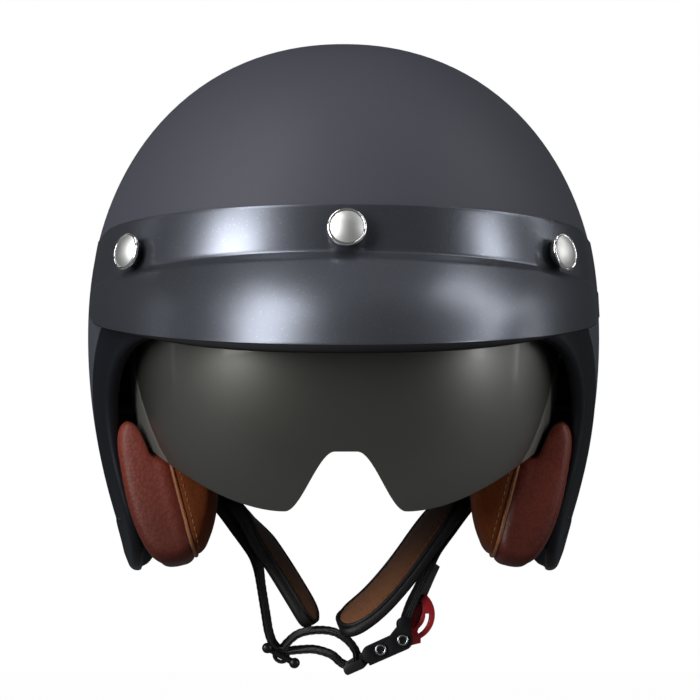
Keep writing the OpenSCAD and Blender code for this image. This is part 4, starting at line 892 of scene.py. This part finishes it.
def metallic(name, colour, bump, roughness, wear, distance=0.0001, metal_share=1.0):
    return coated(name, metal, colour, bump, distance, Roughness=roughness, Wear=wear, Metallic=metal_share)


nickel = metallic("nickel_plate", (0.62, 0.6, 0.56), 0.08, 0.28, 0.3)
zinc = metallic("zinc_steel", (0.55, 0.56, 0.58), 0.12, 0.36, 0.35)
satin_chrome = metallic("satin_chrome", (0.7, 0.69, 0.67), 0.1, 0.5, 0.12)
bright_chrome = metallic("bright_chrome", (0.86, 0.85, 0.83), 0.03, 0.1, 0.08)
black_nylon = coated("black_nylon", lacquer, (0.012, 0.012, 0.013), 0.15, Drift=0.3, Roughness=0.42,
                     Fine_scale=1200.0, Specular_IOR_Level=0.45)
dress(["snap_studs"], nickel, "nickel", 0.00015)
dress(["snap_sockets", "snap_collars"], black_nylon, "black_plastic", 0.0003)


def lathe(profile, centre, axis, sides=96):
    """The form of a profile of radius and height turned about an axis."""
    axis = unit(np.asarray(axis, float))
    u = unit(np.cross(axis, (0, 0, 1) if abs(axis[2]) < 0.9 else (1, 0, 0)))
    a = np.arange(sides) * 2 * np.pi / sides
    spoke = np.cos(a)[:, None] * u + np.sin(a)[:, None] * np.cross(axis, u)
    return loft([centre + axis * h + spoke * max(r, 1e-3) for r, h in profile])


SNAP_Z, SIDE_SNAP_Z, SIDE_SNAP_A, CAP_LOW, CAP_R, ROLL_R = 145.6, 141.2, 42.7, 10.5, 8.8, 0.75
dish_r, turn, dish_turn = CAP_R - 1.3, np.radians(np.linspace(0, 180, 13)), np.radians(np.linspace(0, 90, 6))
cap_rim = [(CAP_R - 3.0, 0.0), (CAP_R - 1.2, 0.0)]
cap_rim += [(CAP_R - ROLL_R + ROLL_R * np.sin(b), ROLL_R - ROLL_R * np.cos(b)) for b in turn]
cap_rim += [(dish_r + 0.55 * np.cos(b), 1.5 - 0.25 * np.sin(b)) for b in dish_turn]
cap_face = [(dish_r + 0.02, 1.0)]
cap_face += [(r, 1.25 + 2.1 * (1 - (r / dish_r) ** 2)) for r in np.linspace(dish_r, 0.02, 22)]
faces, rims = [], []
for angle, height in ((-90, SNAP_Z), (-SIDE_SNAP_A, SIDE_SNAP_Z), (SIDE_SNAP_A - 180, SIDE_SNAP_Z)):
    q = q_at(np.radians(angle), height)
    axis = unit(np.cross(*skin_slopes(q)))
    base = skin(q) + axis * CAP_LOW
    rims.append(lathe(cap_rim, base, axis))
    faces += [lathe(cap_face, base, axis), lathe([(2.0, -4.0), (2.0, 1.2)], base, axis, 32)]
make("snap_cap_faces", merge(faces), satin_chrome, "helmet", "satin_chrome", ["snap_caps"])
make("snap_cap_rims", merge(rims), bright_chrome, "helmet", "satin_chrome")

# Sun visor
# One injection-moulded smoked polycarbonate lens about 2 mm thick. It curves round the face, turns
# into flat wings at the sides, and each wing runs back into an arm that carries the hinge bush.
NOTCH_Z, LENS_LOW_Z, LENS_SIDE_Z, NOTCH_HALF, LENS_TOP_A = 50.5, 24.8, 57.5, 28.0, 12.0
WING_R, ARM_X, ARM_T, DISC_R, BUSH_D = 33.0, 98.6, 2.2, 13.0, 14.0


def lens_low(x):
    """The height of the lens's lower edge, with its notch for the nose."""
    notch = mixed(NOTCH_Z, LENS_LOW_Z, smooth_step((x - 5) / (NOTCH_HALF - 5.5)))
    side = LENS_LOW_Z + (LENS_SIDE_Z - LENS_LOW_Z) * (np.maximum(x - NOTCH_HALF, 0) / 65) ** 1.765
    return np.where(x < NOTCH_HALF, notch, side)


def lens_grid(depth, rows=84):
    xs = np.concatenate([np.linspace(0, 30, 49)[:-1], np.linspace(30, 92, 62)])
    rs = np.linspace(lens_radius(92.0), WING_R + 3, 40)[1:]
    x, r = np.concatenate([xs, lens_x(rs)]), np.concatenate([lens_radius(xs), rs])
    x, r = np.concatenate([-x[:0:-1], x]), np.concatenate([r[:0:-1], r])
    n = unit(np.stack([power(x / LENS_HALF, LENS_N - 1) / LENS_HALF, (r / LENS_R) ** (LENS_N - 1) / LENS_R], 1))
    wing = np.sqrt(np.maximum(0, r * r - WING_R * WING_R))
    low = np.arcsin((np.maximum(lens_low(np.abs(x)), HINGE_Z - wing) - HINGE_Z) / r)
    top = np.minimum(np.radians(LENS_TOP_A), np.arcsin(wing / r))
    a = mixed(top[:, None], low[:, None], np.linspace(0, 1, rows)[None])
    xd, rd = (x - depth * n[:, 0])[:, None], (r - depth * n[:, 1])[:, None]
    return np.stack([np.broadcast_to(xd, a.shape), HINGE_Y - rd * np.cos(a), HINGE_Z + rd * np.sin(a)], -1)


# Past a crease the wings have a rougher matt skin; their lighter colour there is painted reflection, and a light
# line along the crease is a painted highlight. The mask wing is the distance from the crease
smoked = coated("smoked_polycarbonate", lacquer, (0.010, 0.0105, 0.008), 0.0, Drift=0.12, Roughness=0.43,
                Fine_scale=500.0, IOR=1.9, Transmission_Weight=0.12, Specular_IOR_Level=0.6,
                Specular_Tint=(1.0, 1.0, 0.88, 1), Coat_Weight=0.15, Coat_Roughness=0.05)
tree = smoked.node_tree
shader = next(n for n in tree.nodes if n.type == "BSDF_PRINCIPLED")
tree.links.remove(shader.inputs["Normal"].links[0])
mask = add_node(tree, "Attribute", attribute_name="wing").outputs["Fac"]
painted_wing_sheen = in_range(tree, mask, From_Min=-0.1, From_Max=0.25)
painted_crease_highlight = in_range(tree, maths(tree, "ABSOLUTE", mask), From_Min=0.0, From_Max=0.45, To_Min=0.7, To_Max=0.0)
colour = shader.inputs["Base Color"].links[0].from_socket
# Painted reflection on the wings, then a painted highlight along the crease
for share, tint in ((painted_wing_sheen, (0.075, 0.076, 0.068, 1)), (painted_crease_highlight, (0.2, 0.2, 0.18, 1))):
    mix = add_node(tree, "Mix", share, data_type="RGBA")
    tree.links.new(colour, mix.inputs[6])
    mix.inputs[7].default_value = tint
    colour = mix.outputs[2]
rough = maths(tree, "MULTIPLY_ADD", painted_wing_sheen, 0.12, shader.inputs["Roughness"].links[0].from_socket)
tree.links.new(colour, shader.inputs["Base Color"])
tree.links.new(rough, shader.inputs["Roughness"])

form = walled(lens_grid(0.0), lens_grid(LENS_T))
lens = make("sun_visor_lens", form, smoked, "sun_visor", "smoked_lens", ["sun_visor"])
wing = lens.data.attributes.new("wing", "FLOAT", "POINT")
x, _, z = form[0].T
crease = np.interp(z, (49.0, 55.3, 65.3, 79.0, 92.6, 112.0), (82.1, 85.8, 90.2, 95.0, 98.3, 99.0))
wing.data.foreach_set("value", (np.abs(x) - crease).astype(np.float32))
modify(lens, "BEVEL", width=0.0005, segments=3, limit_method="ANGLE", angle_limit=np.radians(50))
apply_modifiers(lens)


def circle(centre, r, count):
    a = np.arange(count) * 2 * np.pi / count
    return np.stack([centre[0] + r * np.cos(a), centre[1] + r * np.sin(a)], 1)


def plate(name, loops, thickness, matrix, material, body, slot, edge=0.3):
    """A flat plate cut to closed outlines, holes included, with rounded edges. The matrix is in
    millimetres, and its Z is the plate's thickness, which is centred on it."""
    curve = bpy.data.curves.new(name, "CURVE")
    curve.dimensions, curve.fill_mode = "2D", "BOTH"
    curve.extrude, curve.bevel_depth = thickness / 2 - edge, edge
    curve.bevel_resolution, curve.offset = 2, -edge
    for loop in loops:
        spline = curve.splines.new("POLY")
        spline.points.add(len(loop) - 1)
        for point, (x, y) in zip(spline.points, loop):
            point.co = (x, y, 0, 1)
        spline.use_cyclic_u = True
    drawn = add_object(name + "_outline", curve)
    mesh = shape_of(drawn)
    bpy.data.objects.remove(drawn)
    mesh.transform(Matrix.Scale(0.001, 4) @ Matrix.Translation((0, 0, -SEAT_Z)) @ matrix)
    mesh.materials.clear()
    mesh.materials.append(material)
    mesh.polygons.foreach_set("use_smooth", [True] * len(mesh.polygons))
    piece = placed(name, mesh, body, slot)
    modify(piece, "WELD", merge_threshold=2e-6)
    modify(piece, "EDGE_SPLIT", split_angle=np.radians(32), use_edge_sharp=False)
    apply_modifiers(piece)


WING_Y = HINGE_Y - WING_R
rear_y, step_y, front_y = HINGE_Y - 14.5, WING_Y + 2, WING_Y - 3.4
outline = [(front_y, HINGE_Z - 13), (step_y, HINGE_Z - 12.6), (rear_y, HINGE_Z - 10.6)]
outline += [(HINGE_Y + DISC_R * np.cos(b), HINGE_Z + DISC_R * np.sin(b)) for b in angles(-128, 139, 6)]
outline += [(rear_y, HINGE_Z + 7.6), (step_y, HINGE_Z + 6.8), (front_y, HINGE_Z + 6.5)]
loops = [np.array(outline), circle((HINGE_Y, HINGE_Z), BUSH_D / 2 + 0.05, 64)]
nipple, nipple_r = np.radians(52), DISC_R - 3
hole = circle((HINGE_Y + nipple_r * np.cos(nipple), HINGE_Z + nipple_r * np.sin(nipple)), 1.65, 24)
for side, label, holes in ((1, "left", [hole]), (-1, "right", [])):
    stand = Matrix(((0, 0, 1, side * (ARM_X + ARM_T / 2)), (1, 0, 0, 0), (0, 1, 0, 0), (0, 0, 0, 1)))
    plate("visor_arm_" + label, loops + holes, ARM_T, stand, smoked, "sun_visor", "smoked_lens")

# Visor pivots and control
# Each arm turns on a black hub plate screwed to the liner, over an ivory nylon bush and under a steel
# washer. On the left a slide under the shell's edge pulls a cable to the rim of the arm's disc.
ivory = coated("ivory_nylon", lacquer, (0.62, 0.57, 0.45), 0.1, 0.0001, Drift=0.08, Roughness=0.45,
               Fine_scale=800.0, Specular_IOR_Level=0.45)
brass = metallic("brass_fitting", (0.65, 0.44, 0.18), 0.1, 0.3, 0.3)
sheath_rubber = coated("cable_sheath_rubber", lacquer, (0.014, 0.014, 0.015), 0.12, Drift=0.4, Roughness=0.5,
                       Fine_scale=900.0, Specular_IOR_Level=0.4)
dress(["visor_bushes"], ivory, "ivory_nylon", 0.0002)
dress(["pivot_plate_left", "pivot_plate_right", "lever_guide", "guide_cover", "visor_lever"], black_nylon,
      "black_plastic", 0.0004)
dress(["pivot_washers", "pivot_screws", "guide_screws", "cable_wire"], zinc, "zinc_steel", 0.00015)
dress(["cable_nipple"], brass, "brass", 0.0002)
GUIDE_P, GUIDE_A, GUIDE_TILT, SLOT_HALF, SOCKET_X = np.array([96.0, 50.0, 42.0]), 22.0, 20.0, 13.0, -3.3
WIRE_X, WIRE_Y, STOP_Z, SHEATH_R = ARM_X + ARM_T / 2, HINGE_Y + DISC_R + 1.4, HINGE_Z - 14, 2.5


def turned(x, z, angle):
    return x * np.cos(angle) + z * np.sin(angle), z * np.cos(angle) - x * np.sin(angle)


def guide_point(x, y, z):
    x, z = turned(x, z, np.radians(GUIDE_TILT))
    y, x = turned(y, x, np.radians(GUIDE_A))
    return GUIDE_P + (x, y, z)


def skin_x(y, z, depth):
    """How far the shell reaches to the side below its widest level."""
    side, rear = tapers(z - WIDE_Z)
    reach = (SHELL_FRONT - depth) * side if y < 0 else (SHELL_REAR - depth) * rear
    return (SHELL_HALF - depth) * side * (1 - np.abs(y / reach) ** PLAN_N) ** (1 / PLAN_N)


# The sheath leaves the guide, runs up the wall at its own distance in from it, and ends at the stop
route = [guide_point(SOCKET_X, -SLOT_HALF - v, 0) for v in (2.2, 5.8, 8.2)]
route += [(skin_x(y, z, SHELL_T) - off, y, z) for off, y, z in (
    (4.96, 26.4, 45.4), (4.84, 25.6, 50), (6.28, 25.2, 57), (8.71, 23.6, 64), (11.75, 19.4, 70.5),
    (14.86, 14, 76), (17.56, 9.4, 80))]
route += [(WIRE_X, WIRE_Y + aside, STOP_Z - below) for aside, below in ((0.3, 7.5), (0, 4.5), (0, 2.3))]
make("cable_sheath_tube", tube(catmull(route, 10), SHEATH_R, 20), sheath_rubber, "helmet", "black_plastic",
     ["cable_sheath"])

# Chin strap
# Two plies of black nylon webbing 22 mm wide, sewn together along both edges, run from riveted steel
# plates inside the shell to the buckle and the slider. Stuffed pads with a suede face and a black
# bound back are sewn round them under the jaw.
weave, given, place = texture_group("webbing_weave", Color=(0.02, 0.02, 0.022, 1), Pitch=900.0)
spot = add_node(weave, "SeparateXYZ", add_node(weave, "TexCoord").outputs["UV"]).outputs
across = maths(weave, "MULTIPLY", spot["Y"], given["Pitch"])
along = maths(weave, "MULTIPLY", spot["X"], given["Pitch"])
along = maths(weave, "ADD", along, maths(weave, "MULTIPLY", maths(weave, "FLOOR", across), 0.5))
warp, weft = (maths(weave, "POWER", maths(weave, "ABSOLUTE", maths(
    weave, "SINE", maths(weave, "MULTIPLY", way, 3.14159))), 0.6) for way in (across, along))
height = maths(weave, "MULTIPLY", weft, warp)
fuzz = add_node(weave, "TexNoise", place, Scale=900.0, Detail=3.0)
fuzz = maths(weave, "MULTIPLY", fuzz.outputs[0], 0.5)
level = maths(weave, "ADD", maths(weave, "MULTIPLY", height, 0.9), fuzz)
end_group(weave, scaled(weave, given["Color"], level), in_range(weave, height, To_Min=0.85, To_Max=0.55), level)
black_webbing = coated("black_webbing", weave, (0.018, 0.018, 0.02), 0.6, 0.0003, Sheen_Weight=0.2,
                       Specular_IOR_Level=0.35)
strap_suede = coated("strap_suede", cloth, (0.19, 0.075, 0.032), 0.3, 0.0004, Scale=1500.0, Contrast=0.6,
                     Sheen_Weight=0.35, Sheen_Roughness=0.4, Specular_IOR_Level=0.2)
# Painted shade: the strap pads' suede gets darker towards its top
painted_height_shade(strap_suede, -16, 30, 1.0, 0.2)
black_binding = coated("black_binding", leather, (0.016, 0.015, 0.016), 0.2, 0.0003, Grain_scale=700.0, Drift=0.3,
                       Roughness=0.55, Specular_IOR_Level=0.4)
black_thread = coated("black_thread", cloth, (0.03, 0.03, 0.032), 0.3, Scale=2200.0, Contrast=0.5,
                      Specular_IOR_Level=0.4)
WEB_W, WEB_T, WEB_SIDES, PAD_W, PAD_T, STRAP_TILT = 22.0, 2.0, 28, 30.0, 7.4, np.radians(20)
strap_top = [(108.4, 6, 49), (104, 6, 47.8), (92, 6, 47.5), (79, 6, 46.3), (68.5, 6, 42), (60.5, 5.5, 34),
             (52, 4.5, 23), (44, 3.5, 11)]
buckle_run = [(39.8, 2.5, 0), (36.6, 2, -7), (32.6, 2, -15), (29.7, 2, -23.1)]
folded_run = [(31.9, 2, -23.6), (34.9, 2, -17.2), (38.4, 2, -9.2), (41.8, 2, -1.4), (44.4, 2.4, 4.2)]
slider_run = [(41.4, 3, 3), (39.6, 2.5, -8), (37.6, 2, -20), (36, 2, -29), (33.4, 2, -35), (28.6, 2, -37.8),
              (22, 2, -37.4), (14, 2, -37.2), (6, 2, -39.6), (1.4, 2, -43.4), (-2.8, 2, -45.6)]
tail_run = [(-30.4, 2, -38.4), (-27.4, 2, -34.2), (-21.5, 2, -29.6), (-12.5, 2, -27.9), (-4, 2, -29),
            (2.4, 2, -33.2), (6.2, 2, -38.6), (6.6, 2, -43.6)]
left_pad_run = [(56.4, 4.6, 36.5), (48.5, 4, 27), (40.6, 3.4, 16.5), (32.4, 2.8, 5), (24, 2.4, -5.6),
                (14.8, 2, -15.4), (5.5, 2, -22.6), (-2.5, 2, -26.4)]
right_pad_run = [(-56.4, 4.6, 36.5), (-48.5, 4, 26.6), (-39.6, 3.4, 14.4), (-31.6, 2.8, 2.6), (-24.6, 2.4, -8.6),
                 (-19, 2, -18), (-15, 2, -25.6)]


def ribbon_frame(run, side, steps, lean):
    """Path of a strap with its width direction and the direction towards the head."""
    path = catmull(run, steps)
    way = unit(np.gradient(path, axis=0))
    inward = unit(side * np.stack([way[:, 2], 0 * way[:, 0], -way[:, 0]], 1))
    lean = (lean(np.arange(len(path)) * 2.0 / steps) + np.zeros(len(path)))[:, None]
    wide = np.cos(lean) * np.array([0, 1.0, 0]) + np.sin(lean) * inward
    return path, wide, unit(-side * np.cross(way, wide))


def strap_lean(share):
    return STRAP_TILT * smooth_step(share / 8) * (0.36 + 0.64 * smooth_step((18 - share) / 6))


def sew(name, rows, pitch, length, radius, thread, slot):
    make(name + "_stitching", sewn(rows, pitch, length, radius), thread, "chin_strap", slot)


def webbing(name, run, side, lean, node, steps=12, plies=2):
    path, wide, inner = ribbon_frame(run, side, steps, lean)
    b = np.arange(WEB_SIDES) * 2 * np.pi / WEB_SIDES
    over, through = power(np.cos(b), 0.35) * WEB_W / 2, power(np.sin(b), 0.6) * WEB_T / plies * 0.94 / 2
    around = wide[:, None] * over[None, :, None] + inner[:, None] * through[None, :, None]
    along = run_along(path) / 1000
    for k in range(plies):
        middle = path + inner * ((k - (plies - 1) / 2) * WEB_T / plies)
        piece = make(f"{name}_ply_{k + 1}", loft(middle[:, None] + around), black_webbing, "chin_strap",
                     "black_webbing", [node])
        # Coordinates along and across the webbing, in metres, for its weave
        layer = piece.data.uv_layers.new(name="weave")
        for loop in piece.data.loops:
            ring, spot = divmod(loop.vertex_index, WEB_SIDES)
            across = WEB_W / 2 * np.cos(2 * np.pi * spot / WEB_SIDES)
            layer.data[loop.index].uv = (along[min(ring, len(along) - 1)], across / 1000)
    rows = [path + wide * (s * (WEB_W / 2 - 2.2)) + inner * (f * WEB_T / 2) for s in (-1, 1) for f in (-1, 1)]
    sew(name, rows, 3.0, 2.2, 0.13, black_thread, "black_webbing")


webbing("strap_left_webbing", strap_top + buckle_run, 1, strap_lean, "strap_left")
webbing("strap_left_fold", folded_run, 1, lambda share: np.radians(13), "strap_left")
webbing("strap_right_webbing", [(-x, y, z) for x, y, z in strap_top + slider_run], -1, strap_lean,
        "strap_right")
PANEL_END, PANEL_HALF = 0.93, 0.86


def strap_cushion(name, run, side, node, lean):
    """A pad round the webbing: a black back that wraps the edges, an inset domed panel of suede, a
    binding between the two and a row of stitches inside it."""
    path, wide, inner = ribbon_frame(run, side, 16, lean)
    t = np.linspace(-1, 1, len(path))
    full = np.sqrt(np.maximum(0, 1 - np.abs(t) ** 9))
    w, h = PAD_W / 2 * mixed(0.1, 1, full), PAD_T * 0.57 * mixed(0.3, 1, full)
    puff = 1 - 0.05 * np.cos(t * np.pi * 7) ** 8
    inside = np.abs(t) < PANEL_END
    panel = np.sqrt(np.maximum(0, 1 - (np.abs(t) / PANEL_END) ** 7))

    def point(a, b):
        return path + wide * (w * a)[:, None] + inner * (h * b)[:, None]

    def crown(a):
        return 0.6 + (0.42 * (1 - abs(a / PANEL_HALF) ** 3) ** 0.6) * puff * panel

    face = [point(a * panel, crown(a))[inside] for a in np.linspace(-PANEL_HALF, PANEL_HALF, 25)]
    face += [point(a * panel, 0.3)[inside] for a in np.linspace(0.8, -0.8, 5)]
    back = [point(power(np.cos(c), 0.7), power(np.sin(c), 0.85)) for c in np.radians(np.linspace(40, -220, 37))]
    back += [point(a, 0.5) for a in np.linspace(-0.75, 0.75, 7)]
    for part, rows, material, slot in (("_suede", face, strap_suede, "brown_suede"),
                                       ("_back", back, black_binding, "black_webbing")):
        form = loft(np.array(rows).transpose(1, 0, 2))
        make(name + part, form, material, "chin_strap", slot, [node])
    edge = np.concatenate([point(0.88 * panel, 0.68)[inside], point(-0.88 * panel, 0.68)[inside][::-1]])
    make(name + "_binding", tube(softened(evened(edge, 1.2), 3), 0.95, 12, True), black_binding, "chin_strap",
         "black_webbing")
    rows = [(point(a * panel, crown(a)) + inner * 0.1)[inside][5:-5] for a in (-0.72, 0.72)]
    sew(name, rows, 3.4, 2.4, 0.2, brown_thread, "brown_suede")


strap_cushion("strap_pad_left_cover", left_pad_run, 1, "strap_pad_left", lambda share: np.radians(25))
strap_cushion("strap_pad_right_cover", right_pad_run, -1, "strap_pad_right",
              lambda share: np.radians(mixed(1, 14, smooth_step((share - 1.6) / 2.8))))

# Buckle and slider
# A stamped steel slider takes up the spare webbing. The ratchet buckle has a black steel frame on two
# hollow rivets, a toothed black tongue, a coil spring and a red plastic release lever.
black_steel = metallic("black_steel", (0.02, 0.02, 0.022), 0.15, 0.34, 0.5, 0.0002, 0.6)
rivet_steel = metallic("rivet_steel", (0.62, 0.62, 0.62), 0.15, 0.28, 0.4, 0.0002)
red_plastic = coated("red_plastic", lacquer, (0.42, 0.012, 0.018), 0.12, Drift=0.12, Roughness=0.36,
                     Fine_scale=700.0)
dress(["anchor_plate_left", "anchor_plate_right"], black_steel, "black_steel", 0.0004)
dress(["anchor_rivets"], rivet_steel, "dark_steel", 0.0003)
dress(["buckle_frame"], black_steel, "black_steel", 0.0004)
dress(["ratchet_tongue"], black_nylon, "black_plastic", 0.0003)
dress(["buckle_pins"], black_steel, "dark_steel", 0.00025)
dress(["release_lever"], red_plastic, "red_plastic", 0.0005)
webbing("strap_tail_webbing", tail_run, -1, lambda share: np.radians(7), "strap_tail", 16)
SLIDER = (np.array([-30.1, 2.0, -40.2]), np.radians(29))
BUCKLE = (np.array([28.2, 2.0, -32.8]), np.radians(-23.5))
BAR_GAP, BAR_R, RAIL_Y, PIN_HALF = 7.4, 1.6, 13.1, 13.8


def at(place, angle, x, y, z):
    """A point given in the frame of the slider or the buckle."""
    x, z = turned(x, z, angle)
    return place + (x, y, z)


parts = []
for x in (-BAR_GAP, 0.0, BAR_GAP):
    knob = [(2.55 * np.sin(b), -15.2 - 1.9 * np.cos(b)) for b in angles(8, 120, 12)] if x else [(1.5, -13.4)]
    rod = knob + [(BAR_R, -12.8), (BAR_R, 12.8)] + [(r, -y) for r, y in knob[::-1]]
    parts.append(lathe(rod, at(*SLIDER, x, 0, 0), (0, 1, 0), 32))
for y in (-RAIL_Y, RAIL_Y):
    parts.append(tube([at(*SLIDER, x, y, 0) for x in np.linspace(-BAR_GAP, BAR_GAP, 12)], 1.5, 16))
make("strap_slider_frame", merge(parts), black_steel, "chin_strap", "black_steel", ["strap_slider"])
# The webbing wraps the slider's middle bar
rings = []
for b in angles(0, 360, 12):
    out = (at(*SLIDER, np.cos(b), 0, np.sin(b)) - SLIDER[0]) * 0.95
    rings.append([at(*SLIDER, 3.3 * np.cos(b), 10.9 * power(np.cos(c), 0.4), 2.9 * np.sin(b))
                  + out * power(np.sin(c), 0.6) for c in angles(5, 365, 15)])
make("strap_slider_wrap", loft(rings, closed=True), black_webbing, "chin_strap", "black_webbing")


def upright(place, turn):
    """The matrix of a plate that lies in the XZ plane, turned about Y, at a place in millimetres."""
    return Matrix.Translation(place) @ Matrix.Rotation(turn, 4, "Y") @ Matrix.Rotation(np.pi / 2, 4, "X")


def rounded(corners, r, count=6):
    """A polygon with its corners rounded."""
    out = []
    for before, c, after in zip(np.roll(corners, 1, 0), np.array(corners), np.roll(corners, -1, 0)):
        reach = min(r, np.linalg.norm(before - c) * 0.45, np.linalg.norm(after - c) * 0.45)
        p, q = c + unit(before - c) * reach, c + unit(after - c) * reach
        out += [(1 - t) ** 2 * p + 2 * t * (1 - t) * c + t * t * q for t in np.linspace(0, 1, count)]
    return np.array(out)


shoulder = rounded([(-31.4, -5.0), (-31.8, -2), (-29.5, 1.0), (-23, 2.0), (-13.4, 2.9), (-12.8, 0.5), (-13, -3.5),
                    (-19.6, -3.5), (-22, -5.0)], 1.6)
plate("tongue_shoulder", [shoulder], 18.4, upright(*BUCKLE), black_nylon, "chin_strap",
      "black_plastic", 0.6)
web = rounded([(26.6, -36.2), (33.4, -34.6), (36.6, -26.4), (38.6, -20), (37.6, -14.6), (34.2, -17.6),
               (31, -22.6), (27, -29)], 1.2)
plate("release_lever_web", [web], 7.0, upright((0, 2.0, 0), 0.0), red_plastic, "release_lever",
      "red_plastic", 0.5)

roll = [(2.2 + 0.5 * np.cos(b), 0.1 + 0.5 * np.sin(b)) for b in angles(-60, 241, 15)]
socket = [(1.75, -0.1), (1.7, 0.3), (1.1, 0.25), (0.9, -0.1), (0.01, -0.15)]
heads = [(at(*BUCKLE, x, side * (PIN_HALF + 1.05), 0), (0, side, 0)) for x in (-11.6, 0.0) for side in (-1, 1)]
make("rivet_rings", merge([lathe(roll, *head, 64) for head in heads]), rivet_steel, "chin_strap", "dark_steel")
make("rivet_sockets", merge([lathe(socket, *head, 6) for head in heads]), black_steel, "chin_strap",
     "black_steel", smooth=False)
COIL_TURNS, COIL_STEPS, COIL_R, COIL_PITCH = 3, 32, 3, 1.15
coil = [at(*BUCKLE, COIL_R * np.cos(b), 8.1 + COIL_PITCH * b / (2 * np.pi), -COIL_R * np.sin(b))
        for b in 2 * np.pi * np.arange(COIL_TURNS * COIL_STEPS + 1) / COIL_STEPS]
make("lever_spring_coil", tube(coil, 0.45, 12), zinc, "chin_strap", "zinc_steel", ["lever_spring"])
